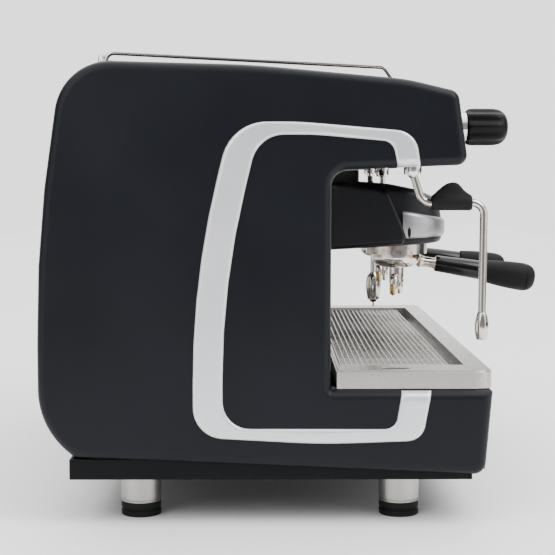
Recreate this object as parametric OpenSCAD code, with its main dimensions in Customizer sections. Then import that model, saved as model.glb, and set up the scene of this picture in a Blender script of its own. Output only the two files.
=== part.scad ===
// Two-group espresso machine. Millimetres, +Z up, front towards -Y, +X to the right seen from the front.
// The origin is on the counter, below the middle of the overall box. The sizes below count from the
// middle of the four feet, which lies origin_y behind it.

/* [Body] */
// Overall width, across the outer faces of the side panels
body_w = 790; // [700:5:960]
// Thickness of a side panel
panel_t = 35; // [30:1:42]
// Wall of a side panel
panel_wall = 5; // [4:0.5:7]
// Height of the top edge at the rear
top_z = 516; // [490:2:620]
// Distance from the feet's middle back to the rearmost point
rear_y = 258; // [240:2:310]
// Distance from the feet's middle forward to the front of the head
head_y = 218; // [205:1:228]
// Height of the head's lower front corner
head_z = 402; // [396:1:412]
// Distance from the feet's middle forward to the back of the working recess
recess_y = 67.5; // [50:0.5:70]
// Height of the deck that the drip tray rests on
deck_z = 152.5; // [120:0.5:158]
// Distance from the feet's middle forward to the lower front
foot_y = 248; // [242:1:270]
// Thickness of the sheet metal
sheet_t = 2; // [1.5:0.5:3]
// Height of the underside of the base frame
base_z = 51.5; // [44:0.5:60]
// Height of the base frame's walls
base_h = 22.5; // [20:0.5:23]

/* [Side trim] */
// How far the trim stands proud of the panel
trim_proud = 1.5; // [0.5:0.5:4]
// How deep the trim sits in the panel
trim_sink = 2; // [1:0.5:3]

/* [Feet] */
// Distance between the feet, left to right
foot_dx = 660; // [560:5:700]
// Distance between the feet, front to back
foot_dy = 298; // [240:2:320]
// Diameter of a foot
foot_d = 46; // [36:1:56]
// Height of a rubber pad
pad_h = 16; // [10:1:24]

/* [Drip tray] */
// Distance from a side panel's outer face in to the tray's edge
tray_inset = 10; // [5:0.5:30]
// Height of the drip tray
tray_h = 21; // [18:0.5:24]
// Distance from the feet's middle forward to the tray's rear edge
tray_back = 74; // [72:0.5:80]
// Distance from the feet's middle forward to the tray's front edge
tray_front = 245; // [240:0.5:260]
// Width of the tray's side rims
side_rim = 46; // [30:1:60]
// Width of the tray's front rim
front_rim = 23; // [15:1:30]
// Distance from one grid bar to the next
bar_pitch = 6.55; // [5.5:0.05:9]
// Width of a grid bar
bar_w = 2; // [1.5:0.1:3]

/* [Groups] */
// Distance between the two groups
group_dx = 230; // [200:5:300]
// Distance from the feet's middle forward to a group's axis
group_y = 165; // [155:1:170]
// How much wider a group's lower ring is than the filter holder, on the radius
ring_t = 7.5; // [6.5:0.5:10]
// Height of the ring's lower edge
ring_z = 289.5; // [280:0.5:292]
// Half the width of a group cover
cover_r = 62; // [58:1:70]
// Outer radius of a filter holder
holder_r = 32; // [31:0.5:33]
// Downward slope of a filter holder's handle, in degrees
handle_slope = 8.5; // [4:0.5:12]
// Diameter of the thick end of a handle's grip
grip_d = 36; // [30:1:42]
// Length of the whole handle, from the group's axis
handle_len = 182; // [170:1:200]

/* [Steam] */
// Distance from the middle out to a steam wand
wand_x = 330; // [300:1:334]
// Distance from the feet's middle forward to a steam wand's ball
wand_y = 163; // [155:1:170]
// Height of a steam wand's ball
ball_z = 393; // [388:0.5:394]
// Radius of a steam wand's ball
ball_r = 7.5; // [6.5:0.5:8]
// Diameter of a steam wand's tube
wand_d = 8.5; // [7:0.5:10]
// How far a steam wand reaches out from its ball
wand_reach = 83; // [70:1:95]
// Distance from the middle out to a steam knob
knob_x = 300; // [270:1:310]
// Height of a steam knob's axis
knob_z = 446; // [440:1:450]
// Diameter of a steam knob
knob_d = 41; // [34:1:48]
// Length of a steam knob
knob_len = 49; // [40:1:60]
// Radius of a steam valve's stem
stem_r = 6; // [5:0.5:8]

/* [Inside] */
// Radius of the boiler
boiler_r = 92; // [80:1:96]
// Length of the boiler
boiler_len = 570; // [460:5:590]
// Height of the boiler's axis
boiler_z = 330; // [315:1:345]

/* [Clearances] */
// Radial clearance of a running fit
run_gap = 0.08; // [0.02:0.01:0.1]
// Gap between pieces that move past each other
slip_gap = 0.5; // [0.3:0.1:1]

/* [Hidden] */
$fn = 48;
left = -1;
right = 1;
half_w = body_w / 2;
span = half_w - panel_t - 0.5;          // half the width between the side panels
far = 900;                              // longer than anything that is cut

black_paint = "#23252b";
silver_paint = "#cfd2d6";
steel = "#b9b6b0";
chrome = "#d8dadc";
black_plastic = "#1b1c1f";
rubber = "#151515";
copper = "#b87446";
brass = "#b08d4a";

// The side outline's corners, as [y, z, radius]
face_rise = 80;                         // height of the head's straight front face
face_lean = 11.5;                       // how far that face leans back over its height
side_corners = [
    [-recess_y, deck_z, 2],
    [-recess_y, head_z - 6, 20],
    [-head_y, head_z, 11],
    [-head_y + face_lean, head_z + face_rise, 13],
    [-head_y + 68, top_z - 20.5, 200],
    [20, top_z - 5, 900],
    [rear_y - 32, top_z + 0.5, 62],
    [rear_y, top_z - 183, 1500],
    [rear_y, base_z + 59.5, 93],
    [rear_y - 40, base_z + 25.5, 12],
    [-foot_y + 8, base_z + 5.5, 14],
    [-foot_y, deck_z, 3]
];

// The trim's corners: up the outside of the C, then back down its inside
trim_top = head_z + 46.5;
trim_base = deck_z - 58;
trim_corners = [
    [-179, deck_z - 3.5, 2],
    [-169, trim_base + 2.5, 20],
    [-58, trim_base - 1.5, 700],
    [85.5, trim_base + 6.5, 34],
    [85.5, 277, 950],
    [42.6, trim_top, 50],
    [-30, trim_top + 0.5, 400],
    [-159, trim_top - 10.5, 26],
    [-165, head_z - 1, 0.5],
    [-140, head_z - 2, 0.5],
    [-134, trim_top - 21.5, 14],
    [-50, trim_top - 14, 300],
    [12.6, trim_top - 14, 36],
    [52.5, 272, 900],
    [52.5, trim_base + 16, 30],
    [-139, trim_base + 15.5, 14],
    [-146, deck_z - 3.5, 1]
];

// Group heights, counted up from the ring's lower edge
lip_t = 2.5;                            // the ring's lip that the holder's ears rest on
holder_top = ring_z + 8.5;
basket_rim = 0.7;
gasket_z = holder_top + basket_rim + 0.3;
gasket_t = 7;
bowl_z = ring_z - 18.5;                 // underside of a filter holder's bowl
group_z = 330;                          // axis of the group's neck
cover_z = ring_z + 7.5;                 // underside of a group cover

ring_r = holder_r + ring_t;
tray_w = body_w - 2 * tray_inset;
tray_z = deck_z + slip_gap;
tray_top = tray_z + tray_h;
pocket_x = tray_w / 2 - side_rim;
pocket_front = tray_front - front_rim;
pocket_back = tray_back + 5;
grid_top = tray_top - 2.5;

face_tilt = atan2(face_lean, face_rise);
collar_r = ball_r + 3;
collar_top = head_z - 1.5;
knob_front = head_y + 12;               // where the steam knobs begin
boiler_y = 95;

// ---- helpers ----
function unit(v) = v / norm(v);
function at(list, i) = list[(i + len(list)) % len(list)];
function spot(c) = [c[0], c[1]];
function turned(v, t) = [v[0] * cos(t) - v[1] * sin(t), v[0] * sin(t) + v[1] * cos(t)];

// One corner as an arc that is tangent to both edges and no longer than they allow
function arc_at(a, b, c, r) =
    let (u = unit(a - b), w = unit(c - b), half = acos(u * w) / 2,
         most = 0.8 * min(norm(a - b), norm(c - b)) * tan(half),
         rad = min(r, most),
         hub = b + unit(u + w) * rad / sin(half),
         turn = 180 - 2 * half,
         steps = max(2, ceil(turn / 8)),
         first = b + u * rad / tan(half) - hub,
         way = cross(u, w) > 0 ? -1 : 1)
    [for (i = [0 : steps]) hub + turned(first, way * turn * i / steps)];

function rounded(corners) = [
    for (i = [0 : len(corners) - 1])
        each arc_at(spot(at(corners, i - 1)), spot(corners[i]), spot(at(corners, i + 1)), corners[i][2])
];

function total(list, i = 0) = i == len(list) ? 0 : list[i] + total(list, i + 1);
function winding(c) = sign(total([for (i = [0 : len(c) - 1]) cross(spot(c[i]), spot(at(c, i + 1)))]));

// The same corners moved inwards by d, or outwards where d is negative
function inset(corners, d) = let (way = winding(corners)) [
    for (i = [0 : len(corners) - 1])
        let (a = spot(at(corners, i - 1)), b = spot(corners[i]), c = spot(at(corners, i + 1)),
             u = unit(b - a), w = unit(c - b),
             nu = [-u[1], u[0]] * way, nw = [-w[1], w[0]] * way,
             p = b + (nu + nw) * d / (1 + nu * nw),
             bulge = way * cross(u, w) > 0 ? -d : d)
        [p[0], p[1], max(0.3, corners[i][2] + bulge)]
];

module along_x(x0, x1) { translate([x0, 0, 0]) rotate([90, 0, 90]) linear_extrude(x1 - x0) children(); }
module along_y(y0, y1) { translate([0, y1, 0]) rotate([90, 0, 0]) linear_extrude(y1 - y0) children(); }
module box(x0, x1, y0, y1, z0, z1) { translate([x0, y0, z0]) cube([x1 - x0, y1 - y0, z1 - z0]); }
module rod_x(x0, x1, y, z, r) { translate([x0, y, z]) rotate([0, 90, 0]) cylinder(r = r, h = x1 - x0); }
module rod_y(x, y0, y1, z, r) { translate([x, y0, z]) rotate([-90, 0, 0]) cylinder(r = r, h = y1 - y0); }
module rod_z(x, y, z0, z1, r) { translate([x, y, z0]) cylinder(r = r, h = z1 - z0); }
module on_side(side) { if (side == left) children(); else mirror([1, 0, 0]) children(); }
module both() { for (side = [left, right]) on_side(side) children(); }

// A sheet that follows the side outline between two insets, across the machine
module skin(outer, inner) {
    difference() {
        along_x(-span, span) polygon(rounded(inset(side_corners, outer)));
        along_x(-span - 1, span + 1) polygon(rounded(inset(side_corners, inner)));
    }
}

// A round tube in the Y-Z plane through the points, with bends of one radius.
// A bend is a hair slimmer than the straights and reaches a little way into them.
bend_slim = 0.02;
bend_over = 0.5;
module bent_tube(points, r, bend) {
    last = len(points) - 1;
    function back_off(i) = i == 0 || i == last ? 0 :
        bend / tan(acos(unit(points[i - 1] - points[i]) * unit(points[i + 1] - points[i])) / 2);
    for (i = [0 : last - 1]) {
        run = points[i + 1] - points[i];
        start = points[i] + unit(run) * back_off(i);
        length = norm(run) - back_off(i) - back_off(i + 1);
        translate([0, start[0], start[1]]) rotate([atan2(-run[0], run[1]), 0, 0])
            cylinder(r = r, h = length);
    }
    for (i = [1 : 1 : last - 1]) {
        u = unit(points[i - 1] - points[i]);
        w = unit(points[i + 1] - points[i]);
        half = acos(u * w) / 2;
        hub = points[i] + unit(u + w) * bend / sin(half);
        start = points[i] + (cross(u, w) > 0 ? w : u) * bend / tan(half) - hub;
        translate([0, hub[0], hub[1]]) rotate([90, 0, 90])
            rotate([0, 0, atan2(start[1], start[0]) - bend_over])
                rotate_extrude(angle = 180 - 2 * half + 2 * bend_over)
                    translate([bend, 0]) circle(r - bend_slim);
    }
}

// ---- body ----
module side_panel(side) {
    color(black_paint) on_side(side) difference() {
        along_x(-half_w, -half_w + panel_t) polygon(rounded(side_corners));
        along_x(-half_w + panel_wall, -half_w + panel_t + 1)
            polygon(rounded(inset(side_corners, panel_wall)));
        box(-half_w + panel_wall, -half_w + panel_t + 1, -foot_y + 12, rear_y - 44, 0, base_z + 50);
        along_x(-half_w - 1, -half_w + trim_sink) polygon(rounded(trim_corners));
    }
}

module side_trim(side) {
    color(silver_paint) on_side(side)
        along_x(-half_w - trim_proud, -half_w + trim_sink) polygon(rounded(trim_corners));
}

base_x = half_w - panel_wall - 4;
base_front = foot_y - 22;
base_back = rear_y - 34;
saddle_x = boiler_len / 2 - 28;
inlet_x = -200;                         // where the water inlet and the cord gland stand
gland_x = 200;
inlet_z = base_z + 12;
module base_frame() {
    color(black_paint) difference() {
        union() {
            difference() {
                box(-base_x, base_x, -base_front, base_back, base_z, base_z + base_h);
                box(-base_x + 3, base_x - 3, -base_front + 3, base_back - 3, base_z + 3, base_z + base_h + 1);
            }
            both() box(saddle_x, saddle_x + 25, boiler_y - 60, boiler_y + 60, base_z + 3, boiler_z - 40);
        }
        rod_x(-half_w, half_w, boiler_y, boiler_z, boiler_r);
        rod_y(inlet_x, base_back - 10, base_back + 1, inlet_z, 9.5);
        rod_y(gland_x, base_back - 10, base_back + 1, inlet_z, 9.5);
        rod_z(0, -group_y + 15, base_z - 1, base_z + 4, 9.5);
    }
}

module rear_cover() {
    color(black_paint) difference() {
        intersection() {
            skin(2, 2 + sheet_t);
            box(-far, far, rear_y - 80, rear_y + 5, base_z + 35, top_z + 5);
        }
        for (i = [0 : 9]) both() box(90, 250, rear_y - 60, rear_y + 5, 360 + i * 10, 364 + i * 10);
    }
}

shelf_front = head_y - 22;
module cup_tray() {
    color(steel) difference() {
        intersection() {
            skin(2, 2 + sheet_t);
            box(-far, far, -shelf_front, rear_y - 80.5, head_z + 50, top_z + 5);
        }
        for (i = [0 : 13], j = [0 : 5])
            box(-span + 44 + j * 108, -span + 124 + j * 108,
                -shelf_front + 34 + i * 24, -shelf_front + 40 + i * 24, head_z, top_z + 5);
    }
}

rail_r = 2.5;
rail_x = half_w - 25;
rail_lift = 12;                         // how far a rail stands above the top edge
module cup_rails() {
    color(steel) difference() {
        union() {
            both() translate([rail_x, 0, 0]) bent_tube([
                [rear_y - 74, top_z - 14], [rear_y - 79, top_z + rail_lift - 2.5],
                [-head_y + 92, top_z - 6], [-head_y + 81, top_z - 24]], rail_r, 7);
            translate([0, rear_y - 68, 0]) rotate([0, 0, -90]) bent_tube([
                [-rail_x + 25, top_z - 16], [-rail_x + 25, top_z + rail_lift - 2.5],
                [rail_x - 25, top_z + rail_lift - 2.5], [rail_x - 25, top_z - 16]], rail_r, 7);
        }
        both() along_x(-half_w, -half_w + panel_t) polygon(rounded(side_corners));
        along_x(-span, span) polygon(rounded(inset(side_corners, 2)));
    }
}

function face_y(z) = -head_y + (z - head_z) * face_lean / face_rise + 2 / cos(face_tilt);
module on_face(x, z) { translate([x, face_y(z), z]) rotate([-face_tilt, 0, 0]) children(); }

keypad_w = 108;
keypad_h = 40;
button_dx = 32;
button_r = 11;
button_z = 448;
button_travel = 1.5;
module front_fascia() {
    color(black_paint) difference() {
        intersection() {
            skin(2, 2 + sheet_t);
            box(-far, far, -head_y - 5, -recess_y - 38, head_z - 10, top_z + 5);
        }
        box(-far, far, -shelf_front - 0.5, far, head_z + 50, top_z + 5);
        both() {
            rod_y(knob_x, -head_y - 5, -head_y + 30, knob_z, 17.2);
            rod_z(wand_x, -wand_y, head_z - 5, head_z + 12, 7);
            for (i = [-1 : 1]) on_face(group_dx / 2 + i * button_dx, button_z)
                rotate([-90, 0, 0]) cylinder(r = button_r + slip_gap, h = 20, center = true);
        }
        rod_z(0, -wand_y + 7, head_z - 5, head_z + 12, 7);
    }
}

module control_panel() {
    color(black_plastic) {
        both() difference() {
            on_face(group_dx / 2, button_z)
                translate([-keypad_w / 2, -2, -keypad_h / 2]) cube([keypad_w, 2, keypad_h]);
            for (i = [-1 : 1]) on_face(group_dx / 2 + i * button_dx, button_z)
                rotate([-90, 0, 0]) cylinder(r = button_r + slip_gap, h = 20, center = true);
        }
        on_face(0, button_z) translate([-38, -2, -20]) cube([76, 2, 40]);
        // the switch board behind the fascia, which stops the buttons
        both() on_face(group_dx / 2, button_z)
            translate([-keypad_w / 2, 10, -keypad_h / 2]) cube([keypad_w, 2, keypad_h]);
    }
}

module brew_button(side, i) {
    color(silver_paint) on_face(side * group_dx / 2 + i * button_dx, button_z)
        rotate([90, 0, 0]) difference() {
            translate([0, 0, -10 + button_travel + 0.3]) cylinder(r = button_r, h = 13.7);
            translate([0, 0, 4.6]) cylinder(r = button_r - 3, h = 2);
        }
}

module splash_back() {
    color(steel) difference() {
        intersection() {
            difference() {
                along_x(-span, span) polygon(rounded(inset(side_corners, -1)));
                along_x(-span - 1, span + 1) polygon(rounded(side_corners));
            }
            box(-far, far, -recess_y - 36, -recess_y + 5, tray_z + 3, head_z);
        }
        both() rod_y(group_dx / 2, -recess_y - 10, -recess_y + 10, group_z, 28);
    }
}

switch_x = 285;
switch_z = 108;
module lower_front_panel() {
    color(black_paint) difference() {
        union() {
            box(-span, span, -foot_y + 3.5, -foot_y + 3.5 + sheet_t, base_z + 6, deck_z);
            box(-span, span, -foot_y + 3.5 + sheet_t, -base_front - 1, base_z + 6, base_z + 8);
        }
        rod_y(switch_x, -foot_y, -foot_y + 10, switch_z, 5);
    }
}

module main_switch() {
    color(black_plastic) {
        rod_y(switch_x, -foot_y + 3, -foot_y + 16, switch_z, 4.9);
        difference() {
            rod_y(switch_x, -foot_y - 11, -foot_y + 3, switch_z, 16);
            both_cheeks();
        }
    }
}
module both_cheeks() {
    for (s = [-1, 1]) box(switch_x + (s < 0 ? -20 : 5), switch_x + (s < 0 ? -5 : 20),
                          -foot_y - 12, -foot_y - 3, switch_z - 20, switch_z + 20);
}

module at_feet() {
    for (x = [-1, 1], y = [-1, 1]) translate([x * foot_dx / 2, y * foot_dy / 2, 0]) children();
}

module foot_sleeves() {
    color(steel) at_feet() difference() {
        translate([0, 0, pad_h]) cylinder(d = foot_d, h = base_z - pad_h);
        translate([0, 0, pad_h + 3]) cylinder(d = foot_d + 2, h = 1.2);
    }
    color(steel) at_feet() translate([0, 0, pad_h + 2]) cylinder(d = foot_d - 2.5, h = 4);
}

module foot_pads() {
    color(rubber) at_feet() rotate_extrude() polygon([
        [0, 0], [foot_d / 2 - 1.5, 0], [foot_d / 2, 1.5], [foot_d / 2, pad_h / 2 - 1.5],
        [foot_d / 2 - 2, pad_h / 2 - 0.5], [foot_d / 2 - 2, pad_h / 2 + 0.5], [foot_d / 2, pad_h / 2 + 1.5],
        [foot_d / 2, pad_h], [0, pad_h]]);
}

// ---- inside ----
shell_t = 3;
module boiler_shell() {
    color(copper) difference() {
        rod_x(-boiler_len / 2, boiler_len / 2, boiler_y, boiler_z, boiler_r);
        rod_x(-boiler_len / 2 + 6, boiler_len / 2 - 6, boiler_y, boiler_z, boiler_r - shell_t);
        rod_x(boiler_len / 2 - 7, boiler_len / 2 + 1, boiler_y, boiler_z, 40);
    }
}

loop_w = 18;
loop_len = 360;
module heating_element() {
    color(steel) {
        rod_x(boiler_len / 2, boiler_len / 2 + 8, boiler_y, boiler_z, 55);
        for (z = [-22, 0, 22]) translate([boiler_len / 2, boiler_y, boiler_z + z])
            rotate([0, -90, 0]) bent_tube([
                [-loop_w, 0], [-loop_w, loop_len], [loop_w, loop_len], [loop_w, 0]], 4, 14);
    }
}

module safety_valve() {
    color(brass) translate([0, boiler_y, boiler_z + boiler_r]) {
        cylinder(r = 12, h = 14, $fn = 6);
        translate([0, 0, 14]) cylinder(r = 9, h = 24);
        translate([0, 0, 38]) cylinder(r = 5, h = 8);
    }
}

motor_x = -250;
motor_len = 150;
motor_r = 52;
motor_y = 60;
motor_z = base_z + 3 + 66;
module pump_motor() {
    color(black_plastic) {
        difference() {
            rod_x(motor_x, motor_x + motor_len, motor_y, motor_z, motor_r);
            for (i = [0 : 6]) difference() {
                rod_x(motor_x + 20 + i * 17, motor_x + 26 + i * 17, motor_y, motor_z, motor_r + 1);
                rod_x(motor_x + 19 + i * 17, motor_x + 27 + i * 17, motor_y, motor_z, motor_r - 3);
            }
        }
        difference() {
            box(motor_x + 2, motor_x + 18, motor_y - 40, motor_y + 40, base_z + 3, motor_z);
            rod_x(motor_x, motor_x + motor_len, motor_y, motor_z, motor_r);
        }
    }
}

pump_end = motor_x + motor_len + 70;
module rotary_pump() {
    color(brass) {
        rod_x(motor_x + motor_len, pump_end, motor_y, motor_z, 26);
        rod_z(pump_end - 25, motor_y, motor_z, motor_z + 34, 9);
    }
}

box_back = 190;
cord_r = 4.5;                           // bore of the cord gland
module control_box() {
    color(black_plastic) difference() {
        union() {
            box(100, 250, -10, box_back, base_z + 3, base_z + 98);
            rod_y(gland_x, box_back, base_back + 14, inlet_z, 9);
            rod_y(gland_x, base_back, base_back + 6, inlet_z, 10);
        }
        rod_y(gland_x, box_back, base_back + 15, inlet_z, cord_r);
    }
}

cup_y = -group_y + 15;
spigot_r = 9;                           // outside of the drain spigot
module drain_cup() {
    color(black_plastic) difference() {
        union() {
            rod_z(0, cup_y, base_z + 9, deck_z - 2, 42);
            rod_z(0, cup_y, base_z - 1, base_z + 9, 8.5);
            rod_z(0, cup_y, base_z - 14, base_z - 1, spigot_r);
        }
        rod_z(0, cup_y, base_z + 11, deck_z, 40);
        rod_z(0, cup_y, base_z - 15, base_z + 12, 7);
    }
}

pipe_r = 5;
inlet_r = 8.3;                          // outside of the water inlet's nipple
module water_pipes() {
    color(copper) {
        // inlet nipple at the back
        rod_y(inlet_x, base_back - 30, base_back + 2, inlet_z, 6);
        rod_y(inlet_x, base_back + 2, base_back + 14, inlet_z, inlet_r);
        // pump to boiler
        translate([pump_end - 25, 0, 0]) bent_tube([
            [motor_y, motor_z + 34], [motor_y, motor_z + 80],
            [boiler_y, motor_z + 90], [boiler_y, boiler_z - boiler_r]], pipe_r, 12);
        // boiler to groups
        both() rod_y(group_dx / 2, -recess_y + 9, boiler_y - boiler_r, group_z, 9);
        // boiler to steam valves
        both() translate([boiler_len / 2 - 15, 0, 0]) bent_tube([
            [boiler_y, boiler_z + boiler_r], [boiler_y, 458],
            [-wand_y + 37, 458]], pipe_r, 18);
    }
}

// ---- groups ----
module at_group(side) { translate([side * group_dx / 2, -group_y, 0]) children(); }
module at_groups() { for (side = [left, right]) at_group(side) children(); }

neck_back = group_y - recess_y;         // from a group's axis back to the recess
module cover_plan(r) {
    circle(r, $fn = 96);
    translate([-r, 0]) square([2 * r, neck_back - 2]);
}

// The cover's side profile, as [distance behind the group's axis, height]
module cover_side(d) {
    polygon([
        [neck_back - 2, cover_z - 1 + d], [-10, cover_z + 1 + d], [-cover_r + 10 + d, cover_z + d],
        [-cover_r + d, cover_z + 5 + d], [-cover_r + d, group_z + 11 - d], [-cover_r + 18, group_z + 34 - d],
        [-10, group_z + 46 - d], [25, group_z + 49.5 - d], [neck_back - 2, group_z + 54 - d]]);
}

module band_zone(d) {
    polygon([[4, group_z - 22 - d], [-cover_r - 5, group_z - 15.5 - d],
             [-cover_r - 5, group_z + 3 + d], [4, group_z + 16 + d]]);
}

cover_wall = 3;
module group_cover() {
    difference() {
        intersection() {
            translate([0, 0, cover_z - 5]) linear_extrude(90) cover_plan(cover_r);
            along_x(-far, far) cover_side(0);
        }
        intersection() {
            translate([0, 0, cover_z - 5]) linear_extrude(90) cover_plan(cover_r - cover_wall);
            along_x(-far, far) cover_side(cover_wall);
        }
        difference() {
            along_x(-far, far) band_zone(0);
            cylinder(r = cover_r - cover_wall - 0.5, h = far);
        }
        translate([0, 0, cover_z - 5]) cylinder(r = ring_r + 0.3, h = 15);
        rod_y(0, neck_back - 10, neck_back, group_z, 28);
    }
    box(-28, 28, neck_back - 52, neck_back - 20, group_z + 50, head_z - 9);
}
module group_covers() { color(black_plastic) at_groups() group_cover(); }

module group_bands() {
    color(silver_paint) at_groups() intersection() {
        difference() {
            cylinder(r = cover_r + 0.5, h = far, $fn = 96);
            translate([0, 0, -1]) cylinder(r = cover_r - cover_wall, h = far + 2);
        }
        along_x(-far, far) band_zone(-0.3);
        box(-far, far, -far, 2, 0, far);
    }
}

ear_turn = 45;                          // how far a holder turns between loose and tight
ear_half = 20;                          // half the angle of an ear
module wedge(r, half) {
    polygon([for (t = [-half, -half / 2, 0, half / 2, half]) [r * sin(t), -r * cos(t)], [0, 0]]);
}
module group_head(side) {
    color(chrome) at_group(side) {
        difference() {
            union() {
                translate([0, 0, ring_z]) cylinder(r = ring_r, h = 28);
                translate([0, 0, ring_z + 28]) cylinder(r = 34, h = 36);
                rod_y(0, 0, neck_back + 9, group_z, 27.8);
            }
            translate([0, 0, ring_z - 1]) cylinder(r = holder_r + 0.6, h = lip_t + 2);
            translate([0, 0, ring_z + lip_t]) cylinder(r = holder_r + 5, h = gasket_z + gasket_t - ring_z - lip_t);
            // the ears enter through two slots in the lip
            for (t = [0, 180]) rotate([0, 0, t + 90 - ear_turn]) translate([0, 0, ring_z - 1])
                linear_extrude(lip_t + 2) wedge((holder_r + 5) / cos(2), ear_half + 3);
        }
    }
}

module group_gaskets() {
    color(rubber) at_groups() translate([0, 0, gasket_z]) difference() {
        cylinder(r = holder_r + 5, h = gasket_t);
        translate([0, 0, -1]) cylinder(r = holder_r - 4, h = gasket_t + 2);
    }
}

module shower_screens() {
    color(steel) at_groups() difference() {
        union() {
            translate([0, 0, gasket_z - 2.5]) cylinder(r = holder_r - 4.6, h = 1.2);
            translate([0, 0, gasket_z - 1.3]) cylinder(r = holder_r - 10, h = gasket_t + 1.3);
        }
        for (i = [0 : 11]) rotate([0, 0, i * 30]) translate([holder_r - 7, 0, gasket_z - 3])
            cylinder(r = 1, h = 2, $fn = 8);
        translate([0, 0, gasket_z - 3]) cylinder(r = 6, h = 3.5);
    }
}

bowl_wall = 2.1;
handle_z = ring_z - 8.5;                // height of the handle's axis at the bowl's wall
module on_handle() {
    translate([0, -holder_r + 2, handle_z]) rotate([90 + handle_slope, 0, 0]) children();
}
stem_len = 24;
sleeve_len = 60;
grip_len = handle_len - holder_r - stem_len - sleeve_len + 2;
front_y = group_y + holder_r - 2 + grip_d / 2
    + (handle_len - holder_r + 2 - grip_d / 2) * cos(handle_slope);
origin_y = round((front_y - rear_y) / 2);
module filter_holder(side) {
    color(chrome) at_group(side) difference() {
        union() {
            rotate_extrude() polygon([
                [0, bowl_z], [13, bowl_z], [22, bowl_z + 1.5], [29, bowl_z + 5], [holder_r, bowl_z + 10],
                [holder_r, holder_top], [0, holder_top]]);
            for (t = [0, 180]) rotate([0, 0, t + 90]) translate([0, 0, ring_z + lip_t + 0.3])
                linear_extrude(holder_top - ring_z - lip_t - 0.3) wedge(holder_r + 4, ear_half);
            on_handle() cylinder(r = 7, h = stem_len);
        }
        rotate_extrude() polygon([
            [0, bowl_z + 2.5], [20, bowl_z + 4], [27, bowl_z + 9], [holder_r - bowl_wall, bowl_z + 13],
            [holder_r - bowl_wall, holder_top + 1], [0, holder_top + 1]]);
        translate([0, 0, bowl_z - 1]) cylinder(r = 5, h = 5);
    }
}

module filter_basket(side) {
    depth = 16;
    top_r = holder_r - bowl_wall - 0.2;
    color(steel) at_group(side) translate([0, 0, holder_top]) difference() {
        rotate_extrude() polygon([
            [0, -depth], [24, -depth], [26, -depth + 2], [top_r, -8], [top_r, 0],
            [holder_r, 0], [holder_r, basket_rim], [0, basket_rim]]);
        rotate_extrude() polygon([
            [0, -depth + 0.8], [23.8, -depth + 0.8], [25.2, -depth + 2.2], [top_r - 0.8, -7.8],
            [top_r - 0.8, 2], [0, 2]]);
    }
}

spout_drop = 23;
arm_x = 13;
module pour_spout(side) {
    color(chrome) at_group(side) translate([0, 0, bowl_z]) difference() {
        union() {
            translate([0, 0, -8]) cylinder(r = 9, h = 8);
            for (s = [-1, 1]) rotate([0, 0, s * 90]) translate([0, 0, 0])
                bent_tube([[0, -11], [-arm_x, -13], [-arm_x, -spout_drop - 12]], 5.5, 8);
            sphere_boss();
        }
        translate([0, 0, -9]) cylinder(r = 5, h = 10);
        for (s = [-1, 1]) translate([s * arm_x, 0, -spout_drop - 13]) cylinder(r = 4, h = 14);
    }
}
module sphere_boss() { translate([0, 0, -12]) cylinder(r = 6.5, h = 5); }

module handle_sleeve(side) {
    color(black_plastic) at_group(side) on_handle() translate([0, 0, stem_len]) cylinder(r = 10.5, h = sleeve_len);
}

module handle_grip(side) {
    color(rubber) at_group(side) on_handle() translate([0, 0, stem_len + sleeve_len])
        rotate_extrude() polygon(concat([[0, 0], [13, 0], [14.5, 2]],
            [for (i = [0 : 5]) let (t = i / 6) [14.5 + (grip_d / 2 - 14.5) * sin(90 * t), 2 + (grip_len - grip_d / 2 - 2) * t]],
            [for (i = [0 : 7]) let (t = 90 * i / 8)
                [grip_d / 2 * cos(t), grip_len - grip_d / 2 + grip_d / 2 * sin(t)]],
            [[0, grip_len]]));
}

// ---- steam ----
module steam_valves() {
    color(brass) {
        both() {
            box(boiler_len / 2 - 25, wand_x + 12, -wand_y - 16, -wand_y + 37, head_z + 10.5, knob_z + 20);
            rod_y(knob_x, -knob_front - 22, -wand_y - 16, knob_z, stem_r);
            rod_y(knob_x, -knob_front + 1, -wand_y - 16, knob_z, 17);
        }
        box(-18, 18, -wand_y - 8, -wand_y + 24, head_z + 10.5, head_z + 36);
    }
}

module steam_knob(side) {
    color(black_plastic) translate([side * knob_x, -knob_front, knob_z]) rotate([90, 0, 0]) difference() {
        union() {
            cylinder(r = knob_d / 2 - 3, h = knob_len - 9);
            for (i = [0 : 9]) rotate([0, 0, i * 36]) translate([knob_d / 2 - 5, 0, 1])
                cylinder(r = 5, h = knob_len - 12);
            translate([0, 0, knob_len - 9]) intersection() {
                cylinder(r = knob_d / 2 - 3, h = 9);
                translate([0, 0, -21]) sphere(r = 30, $fn = 96);
            }
        }
        translate([0, 0, -1]) cylinder(r = stem_r + run_gap, h = 24);
    }
}

module at_wand(side) { translate([side * wand_x, -wand_y, 0]) rotate([0, 0, side == left ? 0 : -90]) children(); }

// The tube's points in its own plane, from the ball: [forward, height]
elbow_z = ball_z - 34;
wand_points = [
    [0, ball_z], [-15, elbow_z], [-wand_reach, elbow_z], [-wand_reach + 4, elbow_z - 126]];
lean = atan2(4, 126);
module wand_collar(side) {
    color(chrome) at_wand(side) difference() {
        union() {
            translate([0, 0, ball_z - 6]) cylinder(r = collar_r, h = collar_top - ball_z + 6);
            translate([0, 0, collar_top]) cylinder(r = 5, h = 8);
        }
        translate([0, 0, ball_z]) sphere(r = ball_r + run_gap, $fn = 96);
        translate([0, 0, ball_z - 7]) cylinder(r = wand_d / 2 + 1.2, h = 7);
        // slots that let the tube tilt, and that show round the collar
        box(-wand_d / 2 - 1.2, wand_d / 2 + 1.2, -collar_r - 1, 0, ball_z - 7, ball_z + 0.5);
        for (t = [60, 120, 180, 240, 300]) rotate([0, 0, t])
            box(-1, 1, -collar_r - 1, -ball_r - 1, ball_z - 7, ball_z + 4);
    }
}

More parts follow.
